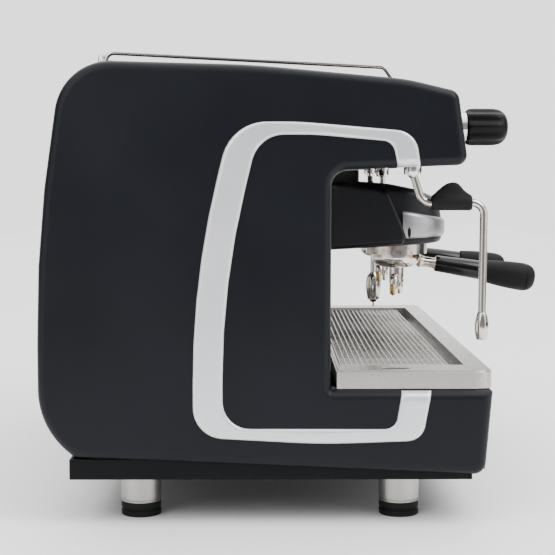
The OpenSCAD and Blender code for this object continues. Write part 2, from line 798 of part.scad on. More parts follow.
module steam_wand(side) {
    color(steel) at_wand(side) {
        translate([0, 0, ball_z]) sphere(r = ball_r, $fn = 96);
        bent_tube(wand_points, wand_d / 2, 14);
    }
}

grip_start = 22;
grip_end = 67;
module wand_grip(side) {
    color(rubber) at_wand(side) difference() {
        union() {
            rod_y(0, -grip_end, -grip_start, elbow_z, 8.5);
            along_x(-4, 4) polygon([
                [-grip_start, elbow_z + 5], [-grip_start, elbow_z + 9], [-38, elbow_z + 21],
                [-44, elbow_z + 24], [-51, elbow_z + 23], [-57, elbow_z + 15],
                [-grip_end, elbow_z + 9], [-grip_end, elbow_z + 5]]);
        }
        rod_y(0, -grip_end - 1, -grip_start + 1, elbow_z, wand_d / 2);
    }
}

// The right wand carries the probe and a longer nozzle
function nozzle_r(side) = side == left ? 8 : 10.5;
function nozzle_len(side) = side == left ? 31 : 43;
module on_nozzle() {
    translate([0, wand_points[3][0], wand_points[3][1]]) rotate([lean, 0, 0]) mirror([0, 0, 1]) children();
}
module wand_nozzle(side) {
    r = nozzle_r(side);
    long = nozzle_len(side);
    color(steel) at_wand(side) on_nozzle() translate([0, 0, side == left ? 0 : -6]) rotate_extrude() polygon([
        [side == left ? 0 : wand_d / 2, 0], [wand_d / 2 + 0.6, 0], [r * 0.75, long * 0.12],
        [r * 0.96, long * 0.3], [r, long * 0.45],
        [r * 0.97, long * 0.65], [r * 0.82, long * 0.86], [r * 0.6, long], [side == left ? 0 : 3, long],
        [side == left ? 0 : 3, 6], [side == left ? 0 : wand_d / 2, 6]]);
}

module temperature_probe() {
    long = nozzle_len(right);
    color(rubber) at_wand(right) on_nozzle() translate([0, 0, -6]) {
        translate([0, 0, 6]) cylinder(r = 3, h = long - 6);
        translate([0, 0, long]) cylinder(r = 5, h = 4);
        translate([0, 0, long + 4]) cylinder(r = 1.2, h = 6);
    }
}

module hot_water_spout() {
    color(chrome) translate([0, -wand_y + 7, 0]) {
        translate([0, 0, head_z - 13]) cylinder(r = 9, h = collar_top - head_z + 13);
        translate([0, 0, collar_top]) cylinder(r = 5, h = 9);
        bent_tube([[0, head_z - 13], [0, head_z - 50], [-16, head_z - 82], [-16, head_z - 100]], 3.5, 14);
        translate([0, -16, head_z - 112]) cylinder(r = 6, h = 12);
    }
}

// ---- drip tray ----
module tray_plan(d) {
    r = 17 - d;
    w = tray_w / 2 - d;
    translate([-w, -tray_front + d + r]) square([2 * w, tray_front - tray_back - 2 * d - r]);
    translate([-w + r, -tray_front + d]) square([2 * w - 2 * r, r + 1]);
    for (s = [-1, 1]) translate([s * (w - r), -tray_front + d + r]) circle(r);
}
tray_floor = 3.5;
module drip_tray() {
    color(steel) difference() {
        union() {
            translate([0, 0, tray_z]) linear_extrude(tray_h - 2) tray_plan(0);
            translate([0, 0, tray_top - 2]) linear_extrude(2) tray_plan(2);
        }
        box(-pocket_x, pocket_x, -pocket_front, -pocket_back, tray_z + tray_floor, tray_top + 1);
        rod_z(0, cup_y, tray_z - 1, tray_z + tray_floor + 1, 24);
        // finger notch in the left rim
        rod_z(-tray_w / 2 + 18, -150, tray_top - 6, tray_top + 1, 7);
        box(-tray_w / 2 + 11, -tray_w / 2 + 25, -150, -132, tray_top - 6, tray_top + 1);
        rod_z(-tray_w / 2 + 18, -132, tray_top - 6, tray_top + 1, 7);
    }
}

channel = 9;                            // open channel between the front rim and the grid
grid_front = pocket_front - channel;
grid_back = pocket_back + 2;
grid_x = pocket_x - 2;
bars = floor((grid_front - grid_back - bar_w) / bar_pitch);
module drip_grid() {
    color(steel) {
        for (i = [0 : bars])
            box(-grid_x, grid_x, -grid_back - bar_w - i * bar_pitch, -grid_back - i * bar_pitch,
                grid_top - 4, grid_top);
        for (i = [0 : 8]) translate([-grid_x + 6 + i * (grid_x - 6) / 4, 0, 0])
            box(-1.5, 1.5, -grid_back - bar_w - bars * bar_pitch, -grid_back,
                tray_z + tray_floor + 0.3, grid_top - 4);
    }
}

translate([0, origin_y, 0]) {
    base_frame();
    side_panel(left);  // left_side_panel
    side_panel(right);  // right_side_panel
    side_trim(left);  // left_side_trim
    side_trim(right);  // right_side_trim
    rear_cover();
    cup_tray();
    cup_rails();
    front_fascia();
    splash_back();
    lower_front_panel();
    foot_sleeves();
    foot_pads();
    boiler_shell();
    heating_element();
    safety_valve();
    pump_motor();
    rotary_pump();
    control_box();
    drain_cup();
    water_pipes();
    group_covers();
    group_bands();
    group_head(left);  // left_group_head
    group_head(right);  // right_group_head
    group_gaskets();
    shower_screens();
    steam_valves();
    control_panel();
    drip_tray();
    drip_grid();
    filter_holder(left);  // left_filter_holder
    filter_basket(left);  // left_filter_basket
    pour_spout(left);  // left_pour_spout
    handle_sleeve(left);  // left_handle_sleeve
    handle_grip(left);  // left_handle_grip
    filter_holder(right);  // right_filter_holder
    filter_basket(right);  // right_filter_basket
    pour_spout(right);  // right_pour_spout
    handle_sleeve(right);  // right_handle_sleeve
    handle_grip(right);  // right_handle_grip
    steam_knob(left);  // left_steam_knob
    steam_knob(right);  // right_steam_knob
    wand_collar(left);  // left_wand_collar
    steam_wand(left);  // left_steam_wand
    wand_grip(left);  // left_wand_grip
    wand_nozzle(left);  // left_wand_nozzle
    wand_collar(right);  // right_wand_collar
    steam_wand(right);  // right_steam_wand
    wand_grip(right);  // right_wand_grip
    wand_nozzle(right);  // right_wand_nozzle
    temperature_probe();
    hot_water_spout();
    main_switch();
    brew_button(left, -1);  // left_brew_button_1
    brew_button(left, 0);  // left_brew_button_2
    brew_button(left, 1);  // left_brew_button_3
    brew_button(right, -1);  // right_brew_button_1
    brew_button(right, 0);  // right_brew_button_2
    brew_button(right, 1);  // right_brew_button_3
}
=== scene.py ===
import bpy, bmesh, math
from mathutils import Matrix, Vector


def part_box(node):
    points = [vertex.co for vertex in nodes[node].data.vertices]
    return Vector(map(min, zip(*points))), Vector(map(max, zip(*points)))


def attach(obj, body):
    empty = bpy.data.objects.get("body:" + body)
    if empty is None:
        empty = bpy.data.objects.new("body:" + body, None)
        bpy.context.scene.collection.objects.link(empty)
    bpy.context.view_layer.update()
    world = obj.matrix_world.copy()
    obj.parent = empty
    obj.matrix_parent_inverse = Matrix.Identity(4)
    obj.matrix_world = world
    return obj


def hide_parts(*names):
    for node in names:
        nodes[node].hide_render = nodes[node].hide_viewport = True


# Espresso machine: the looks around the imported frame. Lengths are millimetres until a mesh is made.
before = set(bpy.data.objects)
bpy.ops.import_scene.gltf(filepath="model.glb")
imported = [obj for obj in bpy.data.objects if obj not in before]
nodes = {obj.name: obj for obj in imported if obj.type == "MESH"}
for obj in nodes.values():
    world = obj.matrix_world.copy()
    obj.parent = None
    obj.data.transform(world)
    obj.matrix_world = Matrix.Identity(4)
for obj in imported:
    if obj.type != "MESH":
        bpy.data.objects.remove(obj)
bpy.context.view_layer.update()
mm = 0.001
left, right = "left", "right"
sides = {left: -1, right: 1}
print("frame in:", len(nodes), "nodes")

# points count from the middle of the four feet, and home carries them into the frame
padLow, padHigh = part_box("foot_pads")
home = Vector((0, round(padLow.y + padHigh.y, 3) / 2 / mm, 0))


def setStops(ramp, stops):
    while len(ramp.elements) < len(stops):
        ramp.elements.new(0.5)
    for element, (position, level) in zip(ramp.elements, stops):
        element.position = position
        element.color = (level, level, level, 1)


def addNode(tree, kind, settings=None, values=None):  # its settings first, then its sockets
    node = tree.nodes.new(kind)
    for key, value in (settings or {}).items():
        if key == "stops":
            setStops(node.color_ramp, value)
        else:
            setattr(node, key, value)
    for key, value in (values or {}).items():
        for one in value if isinstance(value, list) else [value]:
            source = getattr(one, "socket", one)
            if isinstance(source, bpy.types.NodeSocket):
                tree.links.new(source, node.inputs[key])
            else:
                node.inputs[key].default_value = one
    return node


# finishes

class Wire:  # a shader socket that does sums
    def __init__(self, finish, socket):
        self.finish = finish
        self.socket = socket

    def sum(self, operation, *values):
        return self.finish.add("ShaderNodeMath", {"operation": operation}, dict(enumerate(values)))

    def __add__(self, other):
        return self.sum("ADD", self, other)

    def __radd__(self, other):
        return self.sum("ADD", other, self)

    def __sub__(self, other):
        return self.sum("SUBTRACT", self, other)

    def __rsub__(self, other):
        return self.sum("SUBTRACT", other, self)

    def __mul__(self, other):
        return self.sum("MULTIPLY", self, other)

    def __rmul__(self, other):
        return self.sum("MULTIPLY", other, self)

    def above(self, level):
        return self.sum("GREATER_THAN", self, level)

    def near(self, level, reach):
        return self.sum("COMPARE", self, level, reach)


class Finish:  # a material: constants on the shader's sockets, and nodes for what varies
    def __init__(self, name, colour, **constants):
        self.name = name
        self.material = bpy.data.materials.new(name)
        self.material.use_nodes = True
        self.tree = self.material.node_tree
        self.shader = self.tree.nodes["Principled BSDF"]
        self.shader.inputs["Base Color"].default_value = (*colour, 1)
        for socket, value in constants.items():
            self.shader.inputs[socket.replace("_", " ")].default_value = value
        self.place = self.add("ShaderNodeTexCoord", out="Object")

    def add(self, kind, settings=None, values=None, out=0):
        return Wire(self, addNode(self.tree, kind, settings, values).outputs[out])

    def stretched(self, scale):
        return self.add("ShaderNodeMapping", None, {"Vector": self.place, "Scale": scale})

    def noise(self, scale, detail=2.0, place=None, rough=0.5):
        return self.add("ShaderNodeTexNoise", {"noise_dimensions": "3D"},
                        {"Vector": place or self.place, "Scale": scale, "Detail": detail, "Roughness": rough})

    def cells(self, feature, scale, out, **more):
        return self.add("ShaderNodeTexVoronoi", {"feature": feature},
                        {"Vector": self.place, "Scale": float(scale), **more}, out)

    def range(self, wire, low, high, toLow, toHigh):
        values = {0: wire, 1: low, 2: high, 3: toLow, 4: toHigh}
        return self.add("ShaderNodeMapRange", {"clamp": True}, values)

    def tint(self, factor, first, second):
        first, second = (c if isinstance(c, Wire) else (*c, 1) for c in (first, second))
        return self.add("ShaderNodeMix", {"data_type": "RGBA"}, {0: factor, 6: first, 7: second}, out=2)

    def feed(self, socket, wire):
        self.tree.links.new(wire.socket, self.shader.inputs[socket])
        return self

    def bump(self, height, depth):
        return self.feed("Normal", self.add("ShaderNodeBump", None, {"Height": height, "Distance": depth}))


def shade(colour, by):
    return tuple(min(1, c * by) for c in colour)


def satinPaint(name, colour, rough, specular, grain=1400, depth=0.00004):
    f = Finish(name, colour, Specular_IOR_Level=specular)
    cloud = f.noise(7, 3)
    peel = f.noise(grain, 1)
    scuff = f.noise(160, 4, f.stretched((1, 0.25, 1)))
    f.feed("Base Color", f.tint(f.range(cloud, 0.3, 0.7, 0, 1), shade(colour, 0.88), shade(colour, 1.14)))
    worn = f.range(scuff, 0.6, 0.8, 0, 0.06)
    f.feed("Roughness", f.range(cloud, 0.3, 0.7, rough - 0.04, rough + 0.04) + worn)
    return f.bump(peel + 0.4 * scuff, depth)


def silverPaint(name, colour, metal, rough):
    f = Finish(name, colour, Metallic=metal)
    flake = f.add("ShaderNodeSeparateColor", None, {0: f.cells("F1", 2600, "Color")})
    cloud = f.noise(9, 3)
    f.feed("Base Color", f.tint(0.75 * flake + 0.25 * cloud, shade(colour, 0.9), shade(colour, 1.08)))
    f.feed("Roughness", f.range(cloud, 0.3, 0.7, rough - 0.04, rough + 0.04) - 0.05 * flake)
    return f.bump(f.noise(1500, 1) + 0.3 * flake, 0.00003)


def brushedSteel(name, colour, stretch, rough):
    f = Finish(name, colour, Metallic=1.0)
    lines = f.noise(900, 3, f.stretched(stretch), 0.7)
    fine = f.noise(2600, 2, f.stretched(stretch), 0.6)
    cloud = f.noise(12, 3)
    f.feed("Base Color", f.tint(0.6 * lines + 0.4 * cloud, shade(colour, 0.82), shade(colour, 1.12)))
    worn = f.range(cloud, 0.45, 0.8, 0, 0.05)
    f.feed("Roughness", f.range(lines, 0.3, 0.7, rough - 0.05, rough + 0.08) + worn)
    return f.bump(lines + 0.5 * fine, 0.00005)


def polished(name, colour, rough, stain=None):
    f = Finish(name, colour, Metallic=1.0)
    smudge = f.noise(38, 4)
    hairline = f.noise(700, 2, f.stretched((1, 1, 0.1)))
    tone = f.tint(f.range(smudge, 0.45, 0.75, 0, 1), shade(colour, 1.04), shade(colour, 0.86))
    if stain:  # coffee on the brewing parts
        tone = f.tint(f.range(f.noise(55, 4, rough=0.65), 0.47, 0.66, 0, 0.85), tone, stain)
    f.feed("Base Color", tone)
    f.feed("Roughness", f.range(smudge, 0.4, 0.8, rough, rough + 0.1) + 0.03 * hairline)
    return f.bump(hairline + smudge, 0.00001)


def mouldedPlastic(name, colour, rough, specular, grain=2200, depth=0.00006):
    f = Finish(name, colour, Specular_IOR_Level=specular)
    pits = f.cells("SMOOTH_F1", grain, 0, Smoothness=0.6)
    cloud = f.noise(24, 3)
    f.feed("Base Color", f.tint(f.range(cloud, 0.3, 0.7, 0, 1), shade(colour, 0.85), shade(colour, 1.2)))
    f.feed("Roughness", f.range(cloud, 0.3, 0.7, rough - 0.05, rough + 0.05) + 0.04 * pits)
    return f.bump(pits + 0.3 * f.noise(grain / 3, 2), depth)


def bareMetal(name, colour, rough, tarnish):
    f = Finish(name, colour, Metallic=1.0)
    age = f.noise(30, 6, rough=0.7)
    turned = f.noise(1200, 2, f.stretched((0.15, 1, 1)))
    f.feed("Base Color", f.tint(f.range(age, 0.42, 0.7, 0, 0.85), colour, tarnish))
    f.feed("Roughness", f.range(age, 0.35, 0.75, rough, rough + 0.25))
    return f.bump(turned + 0.5 * age, 0.00006)


display = {"cell": 0.006, "gap": 0.0016, "height": 0.4445, "thick": 0.0012, "reach": 0.0235}


def litDisplay(name):  # dark glass with one row of plain bars
    f = Finish(name, (0.006, 0.008, 0.012), Coat_Weight=1.0, Coat_Roughness=0.03, Emission_Strength=0.6)
    across = f.add("ShaderNodeSeparateXYZ", None, {0: f.place})
    up = f.add("ShaderNodeSeparateXYZ", None, {0: f.place}, out=2)
    bars = across.sum("PINGPONG", across, display["cell"]).above(display["gap"])
    row = bars * up.near(display["height"], display["thick"])
    inside = across.near(0.0, display["reach"])
    f.feed("Emission Color", f.tint(row * inside, (0.0, 0.0, 0.0), (0.35, 0.6, 0.75)))
    return f.feed("Roughness", f.range(f.noise(60, 3), 0.3, 0.7, 0.06, 0.14))


alongX, alongZ = (0.03, 1, 1), (1, 1, 0.03)  # which way the brushing runs
made = [
    satinPaint("panelBlack", (0.0052, 0.0061, 0.0088), 0.4, 0.17),
    satinPaint("sheetBlack", (0.0028, 0.003, 0.0037), 0.44, 0.12, 1800, 0.00006),
    silverPaint("trimSilver", (0.76, 0.77, 0.8), 0.55, 0.38),
    # the band's silver, darkened well below the trim's silver to stand for the dark reflections it takes on:
    # painted shade; the brew buttons wear it too
    silverPaint("bandSilver", (0.34, 0.34, 0.35), 0.85, 0.36),
    brushedSteel("traySteel", (0.5, 0.485, 0.465), alongX, 0.27),
    brushedSteel("gridSteel", (0.5, 0.485, 0.46), alongX, 0.24),
    brushedSteel("footSteel", (0.4, 0.385, 0.365), alongZ, 0.26),
    brushedSteel("sheetSteel", (0.6, 0.59, 0.57), alongX, 0.3),
    brushedSteel("edgeSteel", (0.7, 0.69, 0.67), alongX, 0.22),
    polished("tubeSteel", (0.62, 0.59, 0.55), 0.1),
    polished("chrome", (0.8, 0.79, 0.77), 0.06),
    polished("brewChrome", (0.72, 0.69, 0.65), 0.07, (0.36, 0.2, 0.1)),
    mouldedPlastic("coverBlack", (0.0076, 0.008, 0.0098), 0.38, 0.24),
    mouldedPlastic("knobBlack", (0.0034, 0.0034, 0.0036), 0.36, 0.12, 2600),
    mouldedPlastic("glossBlack", (0.003, 0.003, 0.0035), 0.12, 0.32, 500, 0.00001),
    mouldedPlastic("softGrip", (0.0062, 0.0064, 0.0064), 0.55, 0.14, 3000),
    mouldedPlastic("rubberBlack", (0.0052, 0.0052, 0.0053), 0.6, 0.2, 1300, 0.0001),
    bareMetal("copperBare", (0.72, 0.4, 0.24), 0.24, (0.3, 0.13, 0.07)),
    bareMetal("brassMade", (0.68, 0.52, 0.25), 0.26, (0.35, 0.24, 0.1)),
    litDisplay("displayGlass"),
]
finishes = {f.name: f.material for f in made}
print("finishes:", len(finishes))


def wear(piece, finish):
    piece.data.materials.clear()
    piece.data.materials.append(finishes[finish])
    return piece


# mesh helpers

def show(name, data):
    piece = bpy.data.objects.new(name, data)
    bpy.context.scene.collection.objects.link(piece)
    return piece


def settle(piece, finish, smooth=30):  # doubles merged, faces outwards, smooth but for the sharp edges
    bm = bmesh.new()
    bm.from_mesh(piece.data)
    bmesh.ops.remove_doubles(bm, verts=bm.verts, dist=0.000004)
    bmesh.ops.dissolve_degenerate(bm, edges=bm.edges, dist=0.000002)
    bmesh.ops.recalc_face_normals(bm, faces=bm.faces)
    bm.to_mesh(piece.data)
    bm.free()
    piece.data.set_sharp_from_angle(angle=math.radians(smooth))
    piece.data.polygons.foreach_set("use_smooth", [True] * len(piece.data.polygons))
    return wear(piece, finish)


def pieceFrom(name, points, faces, finish, smooth=30, base=home):
    mesh = bpy.data.meshes.new(name)
    mesh.from_pydata([(Vector(p) + base) * mm for p in points], [], faces)
    return settle(show(name, mesh), finish, smooth)


def baked(piece):  # the modifiers' result as the piece's own mesh
    bpy.context.view_layer.update()
    result = bpy.data.meshes.new_from_object(piece.evaluated_get(bpy.context.evaluated_depsgraph_get()))
    piece.modifiers.clear()
    piece.data = result
    result.name = piece.name
    return piece


def joined(name, pieces):  # one mesh of many, each keeping its finish
    bm = bmesh.new()
    slots = []
    for piece in pieces:
        start = len(bm.faces)
        bm.from_mesh(piece.data)
        bm.faces.ensure_lookup_table()
        for face in bm.faces[start:]:
            face.material_index = len(slots) + min(face.material_index, len(piece.data.materials) - 1)
        slots += list(piece.data.materials)
    mesh = bpy.data.meshes.new(name)
    bm.to_mesh(mesh)
    bm.free()
    used = list(dict.fromkeys(slots))
    order = [used.index(material) for material in slots]
    for polygon in mesh.polygons:
        polygon.material_index = order[polygon.material_index]
    for material in used:
        mesh.materials.append(material)
    for piece in pieces:
        bpy.data.objects.remove(piece)
    return show(name, mesh)


def standFor(piece, body, slot, *cadNodes):
    if cadNodes:
        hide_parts(*cadNodes)
    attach(piece, body)
    return piece


easing = {"angle": 32, "flatWeight": 90}


def eased(node, finish, width=0.8, segments=2, name=None):  # a CAD node with its edges broken
    piece = show(name or node + "_eased", nodes[node].data.copy())
    bm = bmesh.new()
    bm.from_mesh(piece.data)
    bmesh.ops.remove_doubles(bm, verts=bm.verts, dist=0.000008)
    bmesh.ops.dissolve_degenerate(bm, edges=bm.edges, dist=0.000004)
    bmesh.ops.dissolve_limit(bm, angle_limit=math.radians(0.6), verts=bm.verts, edges=bm.edges)
    bm.to_mesh(piece.data)
    bm.free()
    piece.data.polygons.foreach_set("use_smooth", [True] * len(piece.data.polygons))
    bevel = piece.modifiers.new("edge", "BEVEL")
    bevel.width = width * mm
    bevel.segments = segments
    bevel.limit_method = "ANGLE"
    bevel.angle_limit = math.radians(easing["angle"])
    bevel.use_clamp_overlap = True
    even = piece.modifiers.new("even", "WEIGHTED_NORMAL")  # flat faces shade flat beside the soft edges
    even.weight = easing["flatWeight"]
    even.keep_sharp = True
    baked(piece)
    return wear(piece, finish)


def mirrored(piece, name):
    twin = show(name, piece.data.copy())
    twin.data.transform(Matrix.Scale(-1, 4, (1, 0, 0)))
    twin.data.flip_normals()
    return twin


# a profile of (radius, height, scallop) turned round an axis; a hollow one closes on itself
def turnedPart(name, profile, finish, at=(0, 0, 0), along=(0, 0, 1), segments=64, flutes=0, hollow=False,
               smooth=30, base=home):
    points, faces = [], []
    for radius, height, *scallop in profile:
        depth = scallop[0] if scallop else 0
        for i in range(segments):
            angle = math.tau * i / segments
            r = radius * (1 - depth * (0.5 + 0.5 * math.cos(flutes * angle)))
            points.append(Vector((r * math.cos(angle), r * math.sin(angle), height)))
    rows = len(profile)
    for row in range(rows if hollow else rows - 1):
        a, b = row * segments, (row + 1) % rows * segments
        for i in range(segments):
            j = (i + 1) % segments
            faces.append((a + i, a + j, b + j, b + i))
    if not hollow:
        faces.append(tuple(range(segments))[::-1])
        faces.append(tuple(range((rows - 1) * segments, rows * segments)))
    turn = Vector((0, 0, 1)).rotation_difference(Vector(along).normalized())
    return pieceFrom(name, [turn @ p + Vector(at) for p in points], faces, finish, smooth, base)


def arcPoints(hubR, hubZ, radius, start, end, steps):  # (radius, height) round a corner, in degrees
    angles = [math.radians(start + (end - start) * i / steps) for i in range(steps + 1)]
    return [(hubR + radius * math.cos(a), hubZ + radius * math.sin(a)) for a in angles]


def ballPoints(radius, start, end, step, tall=1.0):  # (radius, height) down a ball's side
    angles = [math.radians(a) for a in range(start, end + 1, step)]
    return [(radius * math.sin(a), -radius * tall * math.cos(a)) for a in angles]


def roundLoop(corners, steps=None, closed=True):  # an outline from corners of (y, z, radius)
    count = len(corners)
    loop = []
    for i, corner in enumerate(corners):
        b = Vector(corner[:2])
        if not closed and i in (0, count - 1):
            loop.append(b)
            continue
        a, c = Vector(corners[i - 1][:2]), Vector(corners[(i + 1) % count][:2])
        u, w = (a - b).normalized(), (c - b).normalized()
        half = math.acos(max(-1, min(1, u.dot(w)))) / 2
        most = 0.8 * min((a - b).length, (c - b).length) * math.tan(half)
        radius = min(corner[2], most)
        hub = b + (u + w).normalized() * radius / math.sin(half)
        turn = math.pi - 2 * half
        n = steps or max(3, math.ceil(math.degrees(turn) / 3.5))
        first = b + u * radius / math.tan(half) - hub
        way = -1 if u.cross(w) > 0 else 1
        for k in range(n + 1):
            loop.append(hub + Matrix.Rotation(way * turn * k / n, 2) @ first)
    return loop


def insetCorners(corners, d):  # the same corners, d further in
    count = len(corners)
    area = sum(Vector(corners[i][:2]).cross(Vector(corners[(i + 1) % count][:2])) for i in range(count))
    way = 1 if area > 0 else -1
    moved = []
    for i, corner in enumerate(corners):
        a, b, c = (Vector(corners[(i + k) % count][:2]) for k in (-1, 0, 1))
        u, w = (b - a).normalized(), (c - b).normalized()
        nu, nw = Vector((-u.y, u.x)) * way, Vector((-w.y, w.x)) * way
        p = b + (nu + nw) * d / (1 + nu.dot(nw))
        bulge = -d if way * u.cross(w) > 0 else d
        moved.append((p.x, p.y, max(0.3, corner[2] + bulge)))
    return moved


def sliceAt(x, corners, inset):  # a corner outline, inset, on the plane at x
    return [Vector((x, p.x, p.y)) for p in roundLoop(insetCorners(corners, inset))]


def stack(name, loops, finish, smooth=30):  # bridges loops of equal counts and closes both ends
    points = [p for loop in loops for p in loop]
    n = len(loops[0])
    faces = [(r * n + i, r * n + (i + 1) % n, (r + 1) * n + (i + 1) % n, (r + 1) * n + i)
             for r in range(len(loops) - 1) for i in range(n)]
    faces.append(tuple(range(n))[::-1])
    faces.append(tuple(range((len(loops) - 1) * n, len(loops) * n)))
    return pieceFrom(name, points, faces, finish, smooth)


def heightAt(line, y):  # the height of a line of (y, z) at y
    for (y0, z0), (y1, z1) in zip(line, line[1:]):
        if y0 <= y <= y1:
            return z0 + (z1 - z0) * (y - y0) / (y1 - y0)
    return line[0][1] if y < line[0][0] else line[-1][1]


# geometry node trees

class Growth:  # a geometry node tree with named inputs
    def __init__(self, name, **inputs):
        self.tree = bpy.data.node_groups.new(name, "GeometryNodeTree")
        face = self.tree.interface
        face.new_socket("Geometry", in_out="OUTPUT", socket_type="NodeSocketGeometry")
        kinds = {int: "NodeSocketInt", float: "NodeSocketFloat"}
        self.sockets = {}
        for key, value in inputs.items():
            socket = face.new_socket(key, in_out="INPUT", socket_type=kinds[type(value)])
            self.sockets[socket.identifier] = value
        self.source = self.tree.nodes.new("NodeGroupInput")

    def given(self, key):
        return self.source.outputs[key]

    def add(self, kind, settings=None, values=None, out=0):
        return addNode(self.tree, kind, settings, values).outputs[out]

    def times(self, a, b):
        return self.add("ShaderNodeMath", {"operation": "MULTIPLY"}, {0: a, 1: b})

    def vector(self, x=0.0, y=0.0):
        return self.add("ShaderNodeCombineXYZ", None, {0: x, 1: y})

    def model(self, piece):
        return self.add("GeometryNodeObjectInfo", None, {"Object": piece}, out="Geometry")

    def gridOf(self, wide, high, columns, rows):
        return self.add("GeometryNodeMeshGrid", None, {"Size X": wide, "Size Y": high,
                                                       "Vertices X": columns, "Vertices Y": rows})

    def rowOf(self, count, start, step):
        first = tuple((home + Vector(start)) * mm)
        return self.add("GeometryNodeMeshLine", {"mode": "OFFSET"},
                        {"Count": count, "Start Location": first, "Offset": step})

    def moved(self, geometry, by=(0, 0, 0), turn=(0, 0, 0)):
        values = {"Geometry": geometry, "Translation": by, "Rotation": turn}
        return self.add("GeometryNodeTransform", None, values)

    def placed(self, points, instance):
        return self.add("GeometryNodeInstanceOnPoints", None, {"Points": points, "Instance": instance})

    def grow(self, name, geometry, finish, smooth=35):
        whole = self.add("GeometryNodeRealizeInstances", None, {"Geometry": geometry})
        painted = self.add("GeometryNodeSetMaterial", None, {"Geometry": whole, "Material": finishes[finish]})
        end = self.tree.nodes.new("NodeGroupOutput")
        self.tree.links.new(painted, end.inputs[0])
        piece = show(name, bpy.data.meshes.new(name))
        modifier = piece.modifiers.new(name, "NODES")
        modifier.node_group = self.tree
        for identifier, value in self.sockets.items():
            modifier[identifier] = value
        baked(piece)
        return settle(piece, finish, smooth)


def tube(name, points, radius, bend, finish, sides=24):  # a round tube whose corners are rounded by a fillet
    line = bpy.data.curves.new(name + "_line", "CURVE")
    line.dimensions = "3D"
    spline = line.splines.new("POLY")
    spline.points.add(len(points) - 1)
    for knot, p in zip(spline.points, points):
        knot.co = (*((Vector(p) + home) * mm), 1)
    guide = show(name + "_line", line)
    g = Growth(name + "_tube", Radius=radius * mm, Bend=bend * mm, Sides=sides, Steps=8)
    soft = g.add("GeometryNodeFilletCurve", {"mode": "POLY"},
                 {"Curve": g.model(guide), "Radius": g.given("Bend"), "Count": g.given("Steps")})
    ring = g.add("GeometryNodeCurvePrimitiveCircle", None,
                 {"Resolution": g.given("Sides"), "Radius": g.given("Radius")})
    pipe = g.add("GeometryNodeCurveToMesh", None, {"Curve": soft, "Profile Curve": ring, "Fill Caps": True})
    piece = g.grow(name, pipe, finish, 50)
    bpy.data.objects.remove(guide)
    return piece


# side panels: a C-shaped casting with a quarter-round edge
outer = (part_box("right_side_panel")[1] / mm).x
panel = {"thick": 35.0, "edge": 10.0, "back": 1.2, "backInset": 2.4}
outline = [(-67.5, 152.5, 2), (-67.5, 396, 20), (-218, 402, 11), (-206.5, 482, 13), (-150, 495.5, 200),
           (20, 511, 900), (226, 516.5, 62), (258, 333, 1500), (258, 111, 93), (218, 77, 12),
           (-240, 57, 14), (-248, 152.5, 3)]


def sidePanel():
    inner, edge, back = outer - panel["thick"], panel["edge"], panel["back"]
    rows = [(inner, panel["backInset"]), (inner, back), (inner + back, 0.01)]
    for k in range(11):
        a = math.radians(9 * k)
        rows.append((outer - edge * (1 - math.sin(a)), max(0.01, edge * (1 - math.cos(a)))))
    rows.append((outer, edge + back))
    return stack("right_side_shell", [sliceAt(x, outline, inset) for x, inset in rows], "panelBlack", 40)


panelRight = sidePanel()
standFor(panelRight, "machine", "black_paint", "right_side_panel")
standFor(mirrored(panelRight, "left_side_shell"), "machine", "black_paint", "left_side_panel")

# trims: a strip swept between two lines of (y, z, radius), in five stretches with their corners in step
trim = {"proud": 2.9, "bevel": 4.6, "foot": 7.0, "steps": (18, 40, 44, 40, 18), "deepest": 9.0,
        "sillZ": 152.5, "archZ": 399.3, "archY": -150, "archFall": 0.04, "endsBefore": -120}
trimOuter = [(-179, 152, 0), (-169, 97, 20), (-58, 93, 700), (85.5, 101, 34), (85.5, 277, 950),
             (42.6, 448.5, 50), (-30, 449, 400), (-159, 438, 26), (-165, 399.9, 0)]
trimInner = [(-146, 152, 0), (-139, 110, 14), (52.5, 110.5, 30), (52.5, 272, 900), (12.6, 434.5, 36),
             (-50, 434.5, 300), (-134, 427, 14), (-140, 399, 0)]
outerSplits, innerSplits = (1, 3, 5, 7), (1, 2, 4, 6)


def evenly(points, steps):  # the same line with its points spread evenly
    lengths = [0.0]
    for a, b in zip(points, points[1:]):
        lengths.append(lengths[-1] + (b - a).length)
    spread = []
    for k in range(steps + 1):
        goal = lengths[-1] * k / steps
        i = max(j for j in range(len(points) - 1) if lengths[j] <= goal + 1e-6)
        span = max(1e-9, lengths[i + 1] - lengths[i])
        spread.append(points[i].lerp(points[i + 1], min(1, (goal - lengths[i]) / span)))
    return spread


def inStretches(corners, splits):  # an open round-cornered line, cut beside the split corners
    line = roundLoop(corners, closed=False)
    cuts = [0]
    for k in splits:
        goal = Vector(corners[k][:2])
        cuts.append(min(range(len(line)), key=lambda i: (line[i] - goal).length))
    cuts.append(len(line) - 1)
    stretches = []
    for a, b, steps in zip(cuts, cuts[1:], trim["steps"]):
        part = evenly(line[a:b + 1], steps)
        stretches += part[1:] if stretches else part
    return stretches


def panelDrop(y, z):  # how far the panel's round edge falls away under the two ends of the trim
    edge = panel["edge"]
    inside = edge
    if y < trim["endsBefore"]:
        arch = trim["archZ"] - (y - trim["archY"]) * trim["archFall"]
        inside = trim["sillZ"] - z if z < 160 else max(0, z - arch)
    gap = edge - min(edge, max(0.5, inside))
    return min(trim["deepest"], edge - math.sqrt(edge ** 2 - gap ** 2))


